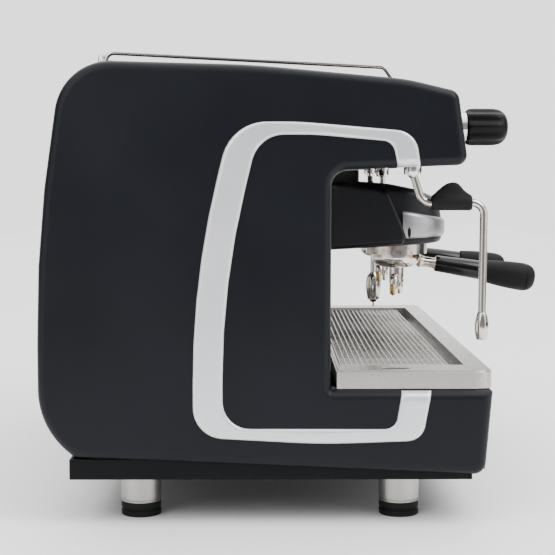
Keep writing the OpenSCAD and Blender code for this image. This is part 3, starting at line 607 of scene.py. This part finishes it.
def sideTrim():
    proud, bevel = trim["proud"], trim["bevel"]
    section = [(0.0, -trim["foot"]), (0.0, 0.1)]  # (in from the edge, out of the panel)
    for k in range(1, 7):
        a = math.radians(15 * k)
        section.append((bevel * (1 - math.cos(a)), 0.1 + (proud - 0.1) * math.sin(a)))
    section.append((bevel + 1.0, proud))
    loops = []
    for a, b in zip(inStretches(trimOuter, outerSplits), inStretches(trimInner, innerSplits)):
        across, inward = (b - a).length, (b - a).normalized()
        loop = []
        for d, h in section + [(across - d, h) for d, h in reversed(section)]:
            p = a + inward * d
            loop.append(Vector((outer + h - panelDrop(p.x, p.y), p.x, p.y)))
        loops.append(loop)
    return stack("right_side_inlay", loops, "trimSilver", 34)


trimRight = sideTrim()
standFor(trimRight, "machine", "silver_trim", "right_side_trim")
standFor(mirrored(trimRight, "left_side_inlay"), "machine", "silver_trim", "left_side_trim")
print("side panels and trims")

# sheet and cast parts: finish, edge width and slot of each
sheets = {"rear_cover": ("panelBlack", 0.7, "black_paint"),
          "front_fascia": ("panelBlack", 0.7, "black_paint"),
          "cup_tray": ("sheetSteel", 0.6, "stainless"),
          "lower_front_panel": ("panelBlack", 0.7, "black_paint"),
          "base_frame": ("sheetBlack", 0.9, "black_paint"),
          "pump_motor": ("sheetBlack", 1.0, "black_plastic"),
          "control_box": ("sheetBlack", 1.4, "black_plastic"),
          "rotary_pump": ("brassMade", 1.2, "brass"),
          "drain_cup": ("coverBlack", 0.8, "black_plastic")}
for node, (finish, width, slot) in sheets.items():
    standFor(eased(node, finish, width), "machine", slot, node)

# CAD nodes that only take a finish
plain = {"boiler_shell": "copperBare", "heating_element": "sheetSteel", "safety_valve": "brassMade",
         "water_pipes": "copperBare", "group_gaskets": "rubberBlack", "shower_screens": "sheetSteel",
         "splash_back": "edgeSteel", "left_filter_basket": "sheetSteel", "right_filter_basket": "sheetSteel"}
for node, finish in plain.items():
    wear(nodes[node], finish)

rail = {"radius": 2.6, "bend": 9.0, "x": 370.0, "rear": 190.0, "rearX": 345.0,
        "sideRun": ((184, 503), (179, 525.2), (-126, 509.6), (-137, 494)), "post": (503, 525.2)}
railRuns = [[(way * rail["x"], y, z) for y, z in rail["sideRun"]] for way in sides.values()]
postLow, postHigh = rail["post"]
railRuns.append([(way * rail["rearX"], rail["rear"], z)
                 for way, z in ((-1, postLow), (-1, postHigh), (1, postHigh), (1, postLow))])
rails = [tube("cupRail%d" % i, run, rail["radius"], rail["bend"], "tubeSteel")
         for i, run in enumerate(railRuns)]
standFor(joined("cup_rail_set", rails), "machine", "stainless", "cup_rails")

rivet = {"columnX": 340.0, "lowZ": 150.0, "highZ": 290.0, "face": 256.9, "segments": 20}
rivetLine = [(1.3, -1.2), (1.5, 0.6), (2.9, 0.9), (3.4, 1.5), (4.0, 1.1), (4.2, 0.3), (4.2, -1.2)]
rivetHead = turnedPart("screwHead", rivetLine, "chrome", segments=rivet["segments"], base=Vector())
g = Growth("rearScrews", Across=rivet["columnX"] * 2 * mm, Up=(rivet["highZ"] - rivet["lowZ"]) * mm,
           Columns=2, Rows=3)
spots = g.gridOf(g.given("Across"), g.given("Up"), g.given("Columns"), g.given("Rows"))
upright = g.moved(g.placed(spots, g.model(rivetHead)), turn=(-math.pi / 2, 0, 0))
rivetMiddle = home + Vector((0, rivet["face"], (rivet["lowZ"] + rivet["highZ"]) / 2))
rearScrews = g.grow("rear_screws", g.moved(upright, by=tuple(rivetMiddle * mm)), "chrome")
bpy.data.objects.remove(rivetHead)
standFor(rearScrews, "machine", "stainless")

foot = {"dx": 660.0, "dy": 298.0, "segments": 56}
sleeveProfile = [(20.0, 16), (22.2, 16), *arcPoints(22.2, 16.8, 0.8, -90, 0, 3), (23, 18.6), (22.3, 19),
                 (22.3, 20), (23, 20.4), (23, 49.6), *arcPoints(22.2, 50.4, 0.8, 0, 90, 3), (20.0, 51.4)]
padProfile = [(19.0, 0), *arcPoints(21.3, 1.6, 1.6, -90, 0, 4), (22.9, 6.2), (21.4, 7.4), (21.4, 8.6),
              (22.9, 9.8), *arcPoints(22.1, 15.2, 0.8, 0, 90, 3), (19.0, 16)]


def fourTimes(name, profile, finish):
    one = turnedPart(name + "One", profile, finish, segments=foot["segments"], base=Vector())
    tree = Growth(name + "Places", Wide=foot["dx"] * mm, Deep=foot["dy"] * mm)
    corners = tree.gridOf(tree.given("Wide"), tree.given("Deep"), 2, 2)
    whole = tree.grow(name, tree.moved(tree.placed(corners, tree.model(one)), by=tuple(home * mm)), finish)
    bpy.data.objects.remove(one)
    return whole


standFor(fourTimes("steel_feet", sleeveProfile, "footSteel"), "machine", "stainless", "foot_sleeves")
standFor(fourTimes("rubber_feet", padProfile, "rubberBlack"), "machine", "rubber", "foot_pads")
print("sheets, rails, screws and feet")

# drip tray and its grille
tray = {"edge": 2.2, "rimFrom": -234.0, "rimOut": 4.0}
trayPan = eased("drip_tray", "traySteel", tray["edge"], 3)
for vertex in trayPan.data.vertices:  # the rolled front rim stands level with the panels
    if vertex.co.y < (home.y + tray["rimFrom"]) * mm:
        vertex.co.y -= tray["rimOut"] * mm
standFor(trayPan, "drip_tray", "stainless", "drip_tray")

grid = {"bars": 20, "pitch": 6.55, "first": -82.0, "length": 674.0, "width": 1.5, "height": 4.0, "soft": 0.9,
        "top": 171.5, "rods": 61, "rodPitch": 11.0, "rodRadius": 0.6, "rodDrop": 1.8,
        "ribs": 9, "ribPitch": 82.75, "ribWidth": 3.0, "under": 156.9}
depth = grid["pitch"] * (grid["bars"] - 1) + grid["width"]
middleY = grid["first"] + 1 - depth / 2
ribHigh = grid["top"] - grid["height"] - grid["under"] + 0.2
g = Growth("grilleBars", Bars=grid["bars"], Pitch=grid["pitch"] * mm, Length=grid["length"] * mm,
           Width=grid["width"] * mm, Height=grid["height"] * mm, Soft=grid["soft"] * mm, Ribs=grid["ribs"],
           RibPitch=grid["ribPitch"] * mm, Rods=grid["rods"], RodPitch=grid["rodPitch"] * mm,
           RodRadius=grid["rodRadius"] * mm)
half = g.times(g.given("Length"), 0.5)
run = g.add("GeometryNodeCurvePrimitiveLine", None,
            {"Start": g.vector(g.times(half, -1.0)), "End": g.vector(half)})
shape = g.add("GeometryNodeCurvePrimitiveQuadrilateral", None, {0: g.given("Width"), 1: g.given("Height")})
softShape = g.add("GeometryNodeFilletCurve", {"mode": "POLY"},
                  {"Curve": shape, "Radius": g.given("Soft"), "Count": 3})
bar = g.add("GeometryNodeCurveToMesh", None, {"Curve": run, "Profile Curve": softShape, "Fill Caps": True})
barRow = g.rowOf(g.given("Bars"), (0, grid["first"], grid["top"] - grid["height"] / 2),
                 g.vector(y=g.times(g.given("Pitch"), -1.0)))
rib = g.add("GeometryNodeMeshCube", None, {"Size": (grid["ribWidth"] * mm, depth * mm, ribHigh * mm)})
firstRib = (-grid["ribPitch"] * (grid["ribs"] - 1) / 2, middleY, grid["under"] + ribHigh / 2)
ribRow = g.rowOf(g.given("Ribs"), firstRib, g.vector(g.given("RibPitch")))
wire = g.add("GeometryNodeMeshCylinder", None,
             {"Vertices": 6, "Radius": g.given("RodRadius"), "Depth": depth * mm}, out="Mesh")
firstRod = (-grid["rodPitch"] * (grid["rods"] - 1) / 2, middleY, grid["top"] - grid["rodDrop"])
rodRow = g.rowOf(g.given("Rods"), firstRod, g.vector(g.given("RodPitch")))
lying = g.moved(wire, turn=(math.pi / 2, 0, 0))
whole = g.add("GeometryNodeJoinGeometry", None,
              {"Geometry": [g.placed(ribRow, rib), g.placed(barRow, bar), g.placed(rodRow, lying)]})
standFor(g.grow("grille", whole, "gridSteel", 40), "drip_grid", "stainless", "drip_grid")
print("tray and grille")

# group covers: a housing between two flat cheeks, a round nose and a band
group = {"x": 115.0, "y": -165.0, "half": 64.0, "edgeOut": 9.0, "edgeIn": 6.0, "flatIn": 7.2,
         "nose": 57.6, "rear": -84.0, "soft": 9.0, "foot": 6.0, "footIn": 7.5, "under": 296.5,
         "underFrom": -80, "rise": 0.06, "crownDrop": 1.5, "crownInsets": (13, 19, 27, 36, 46, 55)}
cheek = [(-74, 296.2, 2), (-74, 380, 2), (-122, 377.5, 120), (-149.5, 371.5, 9), (-158, 352, 80),
         (-168, 329, 70), (-173.5, 312, 14), (-168.5, 303.4, 6), (-112, 299.4, 300)]
crown = [(-224, 322), (-222, 341), (-218.5, 353), (-209, 364), (-186, 373), (-154, 379.5),
         (-117, 382.6), (-72, 384)]
band = {"radius": 61.8, "lip": 4.3, "rear": (310.0, 346.5), "front": (312.7, 336.0), "turn": 88}
neck = {"half": 30, "front": -114, "rear": -76, "corner": 4,
        "rows": ((380.5, 0), (395.4, 0), (397.2, 0.6), (398, 2))}
# size and place of the black pieces that stand for the shade inside the slots at the band's ends: painted
# shade
plug = {"radius": 2.1, "tall": 6.4 / 2.1, "out": 61.0, "forward": 10.5, "z": 318.5}


def groupCheeks(x0):
    half, out, deep = group["half"], group["edgeOut"], group["edgeIn"]
    quarter = [math.radians(11.25 * k) for k in range(9)]
    rows = [(half, group["flatIn"])]
    rows += [(half - out * (1 - math.cos(a)), max(0.01, deep * (1 - math.sin(a)))) for a in quarter]
    rows = [(-x, inset) for x, inset in rows] + rows[::-1]
    return stack("cheeks", [sliceAt(x0 + x, cheek, inset) for x, inset in rows], "coverBlack", 36)


def underAt(y):
    return group["under"] + group["rise"] * (group["underFrom"] - y)


def crownAt(y):
    return heightAt(crown, y) - group["crownDrop"]


def noseRing(inset):  # half a circle in front, straight sides behind
    r, front, rear = group["nose"] - inset, group["y"], group["rear"] - inset
    angles = [math.radians(3 * k - 90) for k in range(61)]
    ring = [(r * math.sin(a), front - r * math.cos(a)) for a in angles]
    ring += [(r, rear + (front - rear) * t) for t in (0.66, 0.33, 0)]
    ring += [(-r, rear + (front - rear) * t) for t in (0, 0.33, 0.66)]
    return ring


def groupNose(x0):
    soft, low = group["soft"], group["foot"]
    rows = [[(x, y, underAt(y)) for x, y in noseRing(group["footIn"])]]
    for k in range(7):  # the rounded lower edge
        a = math.radians(15 * k)
        ring = noseRing(low * (1 - math.sin(a)))
        rows.append([(x, y, underAt(y) + low * (1 - math.cos(a))) for x, y in ring])
    for t in (k / 8 for k in range(1, 9)):  # the wall
        rows.append([(x, y, (underAt(y) + low) * (1 - t) + (crownAt(y) - soft) * t) for x, y in noseRing(0)])
    for k in range(1, 9):  # the rounded shoulder
        a = math.radians(11.25 * k)
        ring = noseRing(soft * (1 - math.cos(a)))
        rows.append([(x, y, crownAt(y) + soft * (math.sin(a) - 1)) for x, y in ring])
    for inset in group["crownInsets"]:
        ring = noseRing(inset)
        rows.append([(x, y, heightAt(crown, y) - group["crownDrop"] * (abs(x) / 60) ** 2) for x, y in ring])
    return stack("nose", [[Vector((x0 + x, y, z)) for x, y, z in row] for row in rows], "coverBlack", 50)


def groupBand(x0):
    r, lip = band["radius"], band["lip"]
    loops = []
    for k in range(61):
        a = math.radians(band["turn"] * (k - 30) / 30)
        t = 1 - math.cos(a)
        low, high = (f + (b - f) * t for f, b in zip(band["front"], band["rear"]))
        section = [(-lip - 1, low + 0.4), (-lip, low), (-2.7, low + 0.7), (-0.9, low + 2.5), (0, low + 5),
                   (0, high - 5), (-0.9, high - 2.5), (-2.7, high - 0.7), (-lip, high),
                   (-lip - 1, high - 0.4)]
        loops.append([Vector((x0 + (r + out) * math.sin(a), group["y"] - (r + out) * math.cos(a), z))
                      for out, z in section])
    return stack("band", loops, "bandSilver", 40)


def groupNeck(x0):
    loops = []
    for z, inset in neck["rows"]:
        half, front, rear = neck["half"] - inset, neck["front"] + inset, neck["rear"] - inset
        ends = ((-half, front), (half, front), (half, rear), (-half, rear))
        corners = [(x0 + x, y, neck["corner"]) for x, y in ends]
        loops.append([Vector((p.x, p.y, z)) for p in roundLoop(corners, 6)])
    return stack("neck", loops, "coverBlack")


def slotShadeFills(x0):  # black rounded pieces set where the slots at the band's ends are: painted shade standing in for the dark inside of the slots
    spots = [(x0 + way * plug["out"], group["y"] - plug["forward"], plug["z"]) for way in sides.values()]
    line = [(0.6, -6.5), *ballPoints(plug["radius"], 20, 160, 20, plug["tall"]), (0.6, 6.5)]
    return [turnedPart("plug", line, "rubberBlack", spot, segments=16) for spot in spots]


covers, bands = [], []
for way in sides.values():
    x0 = way * group["x"]
    covers += [groupCheeks(x0), groupNose(x0), groupNeck(x0), *slotShadeFills(x0)]
    bands.append(groupBand(x0))
standFor(joined("group_housings", covers), "machine", "black_plastic", "group_covers")
standFor(joined("group_bands_satin", bands), "machine", "silver_trim", "group_bands")

# filter holders: bowl, bayonet ears, double spout, stem, gloss sleeve and soft grip
holder = {"slope": 8.9, "start": (-195.0, 279.3), "spoutTurn": -20, "spoutReach": 13.0, "armRadius": 5.6,
          "armBend": 5.0, "armRun": ((0, 262), (3, 259), (13, 258), (13, 247)), "mouthOut": 16.4,
          "earInner": 31.0, "earOuter": 36.0, "earTurns": (90, 270), "earHalf": 19,
          "earRows": ((292.4, 0.6), (293, 0), (297.2, 0), (297.8, 0.6))}
bowlLine = [(9.5, 271), (14, 271.1), (19, 271.9), (23.5, 273.4), (27.2, 275.6), (30, 278.4), (31.6, 281.6),
            (32, 284.6), (32, 289.2), (31.5, 289.8), (31.5, 297.4), (31, 298), (30.1, 298), (29.9, 297.4),
            (29.9, 286), (29.2, 282.4), (26.8, 279.2), (22, 276.4), (16, 274.6), (9.5, 273.8)]
bossLine = [(5, 273), (9.8, 273), (9.8, 258), (9.2, 257.4), (9.2, 256.4), (9.8, 255.8), (9.8, 252), (7, 249),
            (3, 248.6)]
tipLine = [(5.6, 248), (5.6, 243), (5.1, 239.6), (4.5, 236.6), (3.6, 236), (3.5, 236.4), (3.5, 248)]
mouthLine = [(0.4, 234.6), (1.9, 236.6), (3.4, 240), (4.1, 244), (3.6, 248), (1.9, 251.4), (0.4, 252.4)]
stemLine = [(6.2, -4), (8.6, 0.5), (8.2, 1.6), (7.2, 3.2), (6.6, 6), (6.6, 17.6), (7.4, 18.2), (7.4, 20.4),
            (6.9, 21)]
sleeveLine = [(7, 20.5), (9.5, 20.55), *arcPoints(9.5, 21.4, 0.8, -90, 0, 3), (10.6, 32), (11.6, 55),
              *arcPoints(11.6, 83.1, 0.7, 0, 90, 3), (7, 83.9)]
gripLine = [(8, 84), (12.4, 84), *arcPoints(12.4, 85.6, 1.6, -90, 0, 4),
            (14.4, 88), (15.1, 93), (15.9, 99), (16.6, 106), (17.2, 113), (17.6, 120), (17.9, 127),
            (18, 133.5), (17.8, 138.2), (17.0, 138.6), (17.0, 139.1), (17.5, 139.7), (16.9, 142.4),
            (15.6, 145.4), (13.6, 148), (11, 150), (8, 151.2), (4.6, 151.85), (1.2, 152)]
slope = math.radians(holder["slope"])
handleWay = Vector((0, -math.cos(slope), -math.sin(slope)))
spoutLean = Matrix.Rotation(math.radians(holder["spoutTurn"]), 3, "Z")  # the spout stands a little across


def bayonetEars(x0):
    ears = []
    for turn in holder["earTurns"]:
        loops = []
        for z, inset in holder["earRows"]:
            arc = [(holder["earInner"], a) for a in (-holder["earHalf"], holder["earHalf"])]
            arc += [(holder["earOuter"] - inset, a) for a in (19, 9, 0, -9, -19)]
            loops.append([Vector((x0 + r * math.cos(math.radians(turn + a)),
                                  group["y"] + r * math.sin(math.radians(turn + a)), z)) for r, a in arc])
        ears.append(stack("ear", loops, "brewChrome"))
    return ears


def doubleSpout(axis):
    parts = [turnedPart("boss", bossLine, "brewChrome", axis, smooth=40)]
    for way in sides.values():
        route = [axis + spoutLean @ Vector((way * out, 0, z)) for out, z in holder["armRun"]]
        parts.append(tube("arm", route, holder["armRadius"], holder["armBend"], "brewChrome"))
        end = axis + spoutLean @ Vector((way * holder["spoutReach"], 0, 0))
        parts.append(turnedPart("tip", tipLine, "brewChrome", end, hollow=True, smooth=40))
        mouth = axis + spoutLean @ Vector((way * holder["mouthOut"], 0, 0))
        parts.append(turnedPart("mouth", mouthLine, "brassMade", mouth, segments=24, smooth=60))
    return parts


for side, way in sides.items():
    body, x0 = side + "_filter_holder", way * group["x"]
    axis, root = Vector((x0, group["y"], 0)), (x0, *holder["start"])
    standFor(eased(side + "_group_head", "brewChrome", 1.1, 3), "machine", "chrome", side + "_group_head")
    bowl = turnedPart("bowl", bowlLine, "brewChrome", axis, hollow=True, segments=96, smooth=34)
    shaft = turnedPart("shaft", stemLine, "brewChrome", root, handleWay, smooth=34)
    standFor(joined(side + "_holder_body", [bowl, shaft, *bayonetEars(x0)]), body, "chrome", body)
    standFor(joined(side + "_double_spout", doubleSpout(axis)), body, "chrome", side + "_pour_spout")
    sleeve = turnedPart(side + "_sleeve_gloss", sleeveLine, "glossBlack", root, handleWay, smooth=36)
    standFor(sleeve, body, "gloss_black", side + "_handle_sleeve")
    grip = turnedPart(side + "_grip_soft", gripLine, "softGrip", root, handleWay, smooth=60)
    standFor(grip, body, "soft_grip", side + "_handle_grip")
print("groups and handles")

# steam valves and their lobed knobs
valve = {"edge": 0.8, "chromeBefore": -196.0}
valves = eased("steam_valves", "brassMade", valve["edge"], 2, "valve_blocks")
valves.data.materials.append(finishes["chrome"])
for face in valves.data.polygons:
    if face.center.y < (home.y + valve["chromeBefore"]) * mm:
        face.material_index = 1
standFor(valves, "machine", "brass", "steam_valves")

knob = {"x": 300.0, "back": -226.5, "z": 446.0, "lobes": 9}
knobLine = [(17.2, 0, 0), (19.2, 0.4, 0.02), (20.5, 1.6, 0.05), (21.3, 4, 0.09), (21.5, 8, 0.11),
            (21.5, 26, 0.11), (21.3, 32, 0.1), (20.7, 36, 0.09), (19.6, 39.5, 0.06),
            (18.2, 41.8, 0.03), (17.2, 43, 0.01),
            (15.8, 44.6, 0), (13.4, 46.4, 0), (10, 47.9, 0), (6, 48.8, 0), (1.5, 49, 0)]
for side, way in sides.items():
    spot = (way * knob["x"], knob["back"], knob["z"])
    piece = turnedPart(side + "_knob_lobed", knobLine, "knobBlack", spot, (0, -1, 0), segments=144,
                       flutes=knob["lobes"], smooth=50)
    standFor(piece, side + "_steam_knob", "black_plastic", side + "_steam_knob")

# steam wands: the left one reaches forward, the right one in towards the middle
wand = {"x": 330.0, "y": -163.0, "radius": 4.5, "bend": 14.0, "ballZ": 393.0, "ball": 6.6, "skirt": 0.3,
        "run": ((0, 393), (11, 358.6), (81.6, 359.4), (80.4, 233))}
fin = [(20, 8.8), (23.6, 9.6), (28, 13.8), (32.6, 17.8), (36, 20.4), (39.7, 22.4), (44, 23.4), (47.8, 23.5),
       (51, 22.4), (54, 20.2), (58.5, 14.6), (62.9, 11.2), (66, 9.4), (68, 8.8)]
cuff = {"start": 21.5, "long": 46.0, "z": 359.0, "radius": 8.7, "blade": 3.3, "bladeFrom": 0.8,
        "bladeLow": 6.7, "endSoft": 3.2, "endShrink": 0.28}
nozzles = {left: {"r": 8.0, "long": 31.0, "from": 233.0}, right: {"r": 12.2, "long": 43.0, "from": 239.0}}


def wandSpot(side, forward, height, aside=0.0):
    if side == left:
        return Vector((aside - wand["x"], wand["y"] - forward, height))
    return Vector((wand["x"] - forward, wand["y"] - aside, height))


def gripCuff(side):  # a round rubber cuff with a fin on top
    end, r = cuff["start"] + cuff["long"], cuff["radius"]
    loops = []
    for k in range(37):
        t = cuff["start"] + cuff["long"] * k / 36
        inside = min(1, (min(t - cuff["start"], end - t) + 0.6) / cuff["endSoft"])
        shrink = 1 - cuff["endShrink"] * (1 - math.sqrt(1 - (1 - inside) ** 2))
        loop = []
        for n in range(56):
            a = math.tau * n / 56
            up, out = math.cos(a), math.sin(a)
            high, wide = r * up, r * out
            if up > cuff["bladeFrom"]:  # the blade stands behind a shallow groove
                rise = (up - cuff["bladeFrom"]) / (1 - cuff["bladeFrom"])
                high = cuff["bladeLow"] + (heightAt(fin, t) - cuff["bladeLow"]) * rise ** 0.7
                wide = math.copysign(cuff["blade"] * (1 - rise ** 3), out) if abs(out) > 0.01 else 0.0
            loop.append(wandSpot(side, t, cuff["z"] + high * shrink, wide * shrink))
        loops.append(loop)
    return stack(side + "_wand_sleeve", loops, "rubberBlack", 62)


def nozzleLine(r, long):  # a fluted spindle
    shares = [(0.78, 0.12, 0.01), (0.9, 0.22, 0.05), (0.98, 0.34, 0.09), (1, 0.46, 0.1), (0.99, 0.6, 0.1),
              (0.92, 0.76, 0.08), (0.83, 0.88, 0.04), (0.74, 0.965, 0), (0.66, 1, 0), (0.2, 1, 0)]
    return [(4.4, -0.4, 0), (4.9, 0, 0), (5.2, 0.8, 0)] + [(r * a, long * b, c) for a, b, c in shares]


ballZ = wand["ballZ"]
for side in sides:
    body = side + "_wand"
    collar = eased(side + "_wand_collar", "chrome", 0.5, 2)
    for vertex in collar.data.vertices:  # a short skirt, so that the ball shows
        vertex.co.z = max(vertex.co.z, (ballZ - (ballZ - vertex.co.z / mm) * wand["skirt"]) * mm)
    standFor(collar, side + "_wand_swivel", "chrome", side + "_wand_collar")
    run = [wandSpot(side, *p) for p in wand["run"]]
    pipe = tube("pipe", run, wand["radius"], wand["bend"], "tubeSteel", sides=28)
    ball = turnedPart("ball", ballPoints(wand["ball"], 6, 174, 8), "chrome", run[0], smooth=60)
    standFor(joined(side + "_wand_tube", [pipe, ball]), body, "stainless", side + "_steam_wand")
    standFor(gripCuff(side), body, "rubber", side + "_wand_grip")
    nozzle = nozzles[side]
    down = (run[3] - run[2]).normalized()
    top = run[3] - down * (nozzle["from"] - wand["run"][3][1])
    spindle = turnedPart(side + "_spindle", nozzleLine(nozzle["r"], nozzle["long"]), "tubeSteel", top, down,
                         segments=80, flutes=8, smooth=40)
    standFor(spindle, body, "stainless", side + "_wand_nozzle")
probeLine = [(3.4, 40), (5.2, 41), (5.4, 43.4), (4.6, 46.4), (2.6, 47.2), (1.2, 47.4), (1.2, 53.2),
             (0.4, 53.9)]
probe = turnedPart("probe_plug", probeLine, "rubberBlack", top, down, segments=32, smooth=50)
standFor(probe, "right_wand", "rubber", "temperature_probe")

outlet = {"y": -156.0, "forward": 16.0, "radius": 3.6, "bend": 14.0, "heights": (391, 352, 320, 300)}
backAt, frontAt = (0, outlet["y"]), (0, outlet["y"] - outlet["forward"])
route = [(*at, z) for at, z in zip((backAt, backAt, frontAt, frontAt), outlet["heights"])]
collarLine = [(4, 388.2), (7.4, 388.6), (8.7, 390), (9, 391), (9, 400.3), (4, 400.4)]
outletTip = [(2.5, 290), (5.2, 290), (6, 291), (6, 300.6), (4.6, 302), (3.4, 302.6)]
hotWater = [tube("hotPipe", route, outlet["radius"], outlet["bend"], "chrome"),
            turnedPart("hotCollar", collarLine, "chrome", (*backAt, 0)),
            turnedPart("hotTip", outletTip, "chrome", (*frontAt, 0))]
standFor(joined("hot_water_pipe", hotWater), "hot_water_spout", "chrome", "hot_water_spout")
print("knobs and wands")

# controls
board = eased("control_panel", "glossBlack", 0.7, 2, "key_plates")
board.data.materials.append(finishes["displayGlass"])
for face in board.data.polygons:
    if abs(face.center.x) < 40 * mm and face.normal.y < -0.9:
        face.material_index = 1
standFor(board, "machine", "gloss_black", "control_panel")
for side in sides:
    for i in (1, 2, 3):
        button = "%s_brew_button_%d" % (side, i)
        standFor(eased(button, "bandSilver", 0.9, 3), button, "silver_trim", button)
standFor(eased("main_switch", "knobBlack", 1.2, 3), "main_switch", "black_plastic", "main_switch")
print("controls")

# studio: metres from here on
world = bpy.data.worlds.new("studioWhite")
bpy.context.scene.world = world
world.use_nodes = True
sky = world.node_tree
# brightness round the horizon: -1 is the near side, 1 the far side behind the machine
ringLight = [(-1.0, 0.32), (-0.84, 0.36), (-0.76, 1.6), (-0.3, 1.7), (-0.2, 0.08), (0.5, 0.08), (0.66, 1.4),
             (1.0, 1.9)]
backdropLevel = 2.0


def skyNode(kind, settings=None, values=None, out=0):
    return addNode(sky, kind, settings, values).outputs[out]


toward = skyNode("ShaderNodeTexCoord", out="Generated")
level = skyNode("ShaderNodeVectorMath", {"operation": "MULTIPLY"}, {0: toward, 1: (1, 1, 0)})
level = skyNode("ShaderNodeVectorMath", {"operation": "NORMALIZE"}, {0: level})
turnX = skyNode("ShaderNodeSeparateXYZ", None, {0: level})
place = skyNode("ShaderNodeMapRange", None, {0: turnX, 1: -1.0, 2: 1.0, 3: 0.0, 4: 1.0})
stops = [((at + 1) / 2, bright / 2) for at, bright in ringLight]
ramp = skyNode("ShaderNodeValToRGB", {"stops": stops}, {0: place})
upward = skyNode("ShaderNodeSeparateXYZ", None, {0: toward}, out=2)
overhead = skyNode("ShaderNodeMapRange", None, {0: upward, 1: 0.45, 2: 0.9, 3: 0.0, 4: 2.4})
around = skyNode("ShaderNodeMath", {"operation": "MULTIPLY_ADD"}, {0: ramp, 1: 2.0, 2: overhead})
seen = skyNode("ShaderNodeLightPath", out="Is Camera Ray")
backdrop = skyNode("ShaderNodeMix", {"data_type": "FLOAT"}, {0: seen, 2: around, 3: backdropLevel})
sky.links.new(backdrop, sky.nodes["Background"].inputs["Strength"])
sky.nodes["Background"].inputs["Color"].default_value = (1.0, 1.0, 1.0, 1)

floorSize = {"near": -1.5, "far": 9.0, "half": 1.7}
floorMesh = bpy.data.meshes.new("studioFloor")
floorMesh.from_pydata([(floorSize["near"], -floorSize["half"], 0), (floorSize["far"], -floorSize["half"], 0),
                       (floorSize["far"], floorSize["half"], 0), (floorSize["near"], floorSize["half"], 0)],
                      [], [(0, 1, 2, 3)])
floor = show("studioFloor", floorMesh)
floorPaint = Finish("floorPaint", (0.94, 0.94, 0.94))
floorPaint.feed("Roughness", floorPaint.range(floorPaint.noise(3), 0.3, 0.7, 0.62, 0.72))
floor.data.materials.append(floorPaint.material)

lamps = {"keyAbove": {"place": (-1.2, -1.6, 2.2), "aim": (0, 0, 0.3), "watts": 40, "size": 1.6},
         "sideSoft": {"place": (-2.4, 1.2, 1.4), "aim": (0, 0, 0.3), "watts": 18, "size": 1.2},
         "frontSoft": {"place": (-0.7, -3.0, 0.9), "aim": (0, 0, 0.35), "watts": 12, "size": 1.4}}
for name, lamp in lamps.items():
    light = bpy.data.lights.new(name, "AREA")
    light.shape = "RECTANGLE"
    light.size = light.size_y = lamp["size"]
    light.energy = lamp["watts"]
    stand = show(name, light)
    stand.location = lamp["place"]
    stand.rotation_euler = (Vector(lamp["aim"]) - Vector(lamp["place"])).to_track_quat("-Z", "Y").to_euler()

view = {"place": (-1.895, 0.00218, 0.3907), "lens": 88.86, "sensor": 36.0, "pitch": 4.279, "yaw": -0.396}
camera = show("sideCamera", bpy.data.cameras.new("sideCamera"))
camera.data.sensor_width = view["sensor"]
camera.data.lens = view["lens"]
camera.location = Vector(view["place"]) + home * mm
pitch, yaw = math.radians(view["pitch"]), math.radians(view["yaw"])
look = Vector((math.cos(pitch) * math.cos(yaw), math.cos(pitch) * math.sin(yaw), -math.sin(pitch)))
camera.rotation_euler = look.to_track_quat("-Z", "Y").to_euler()
bpy.context.scene.camera = camera
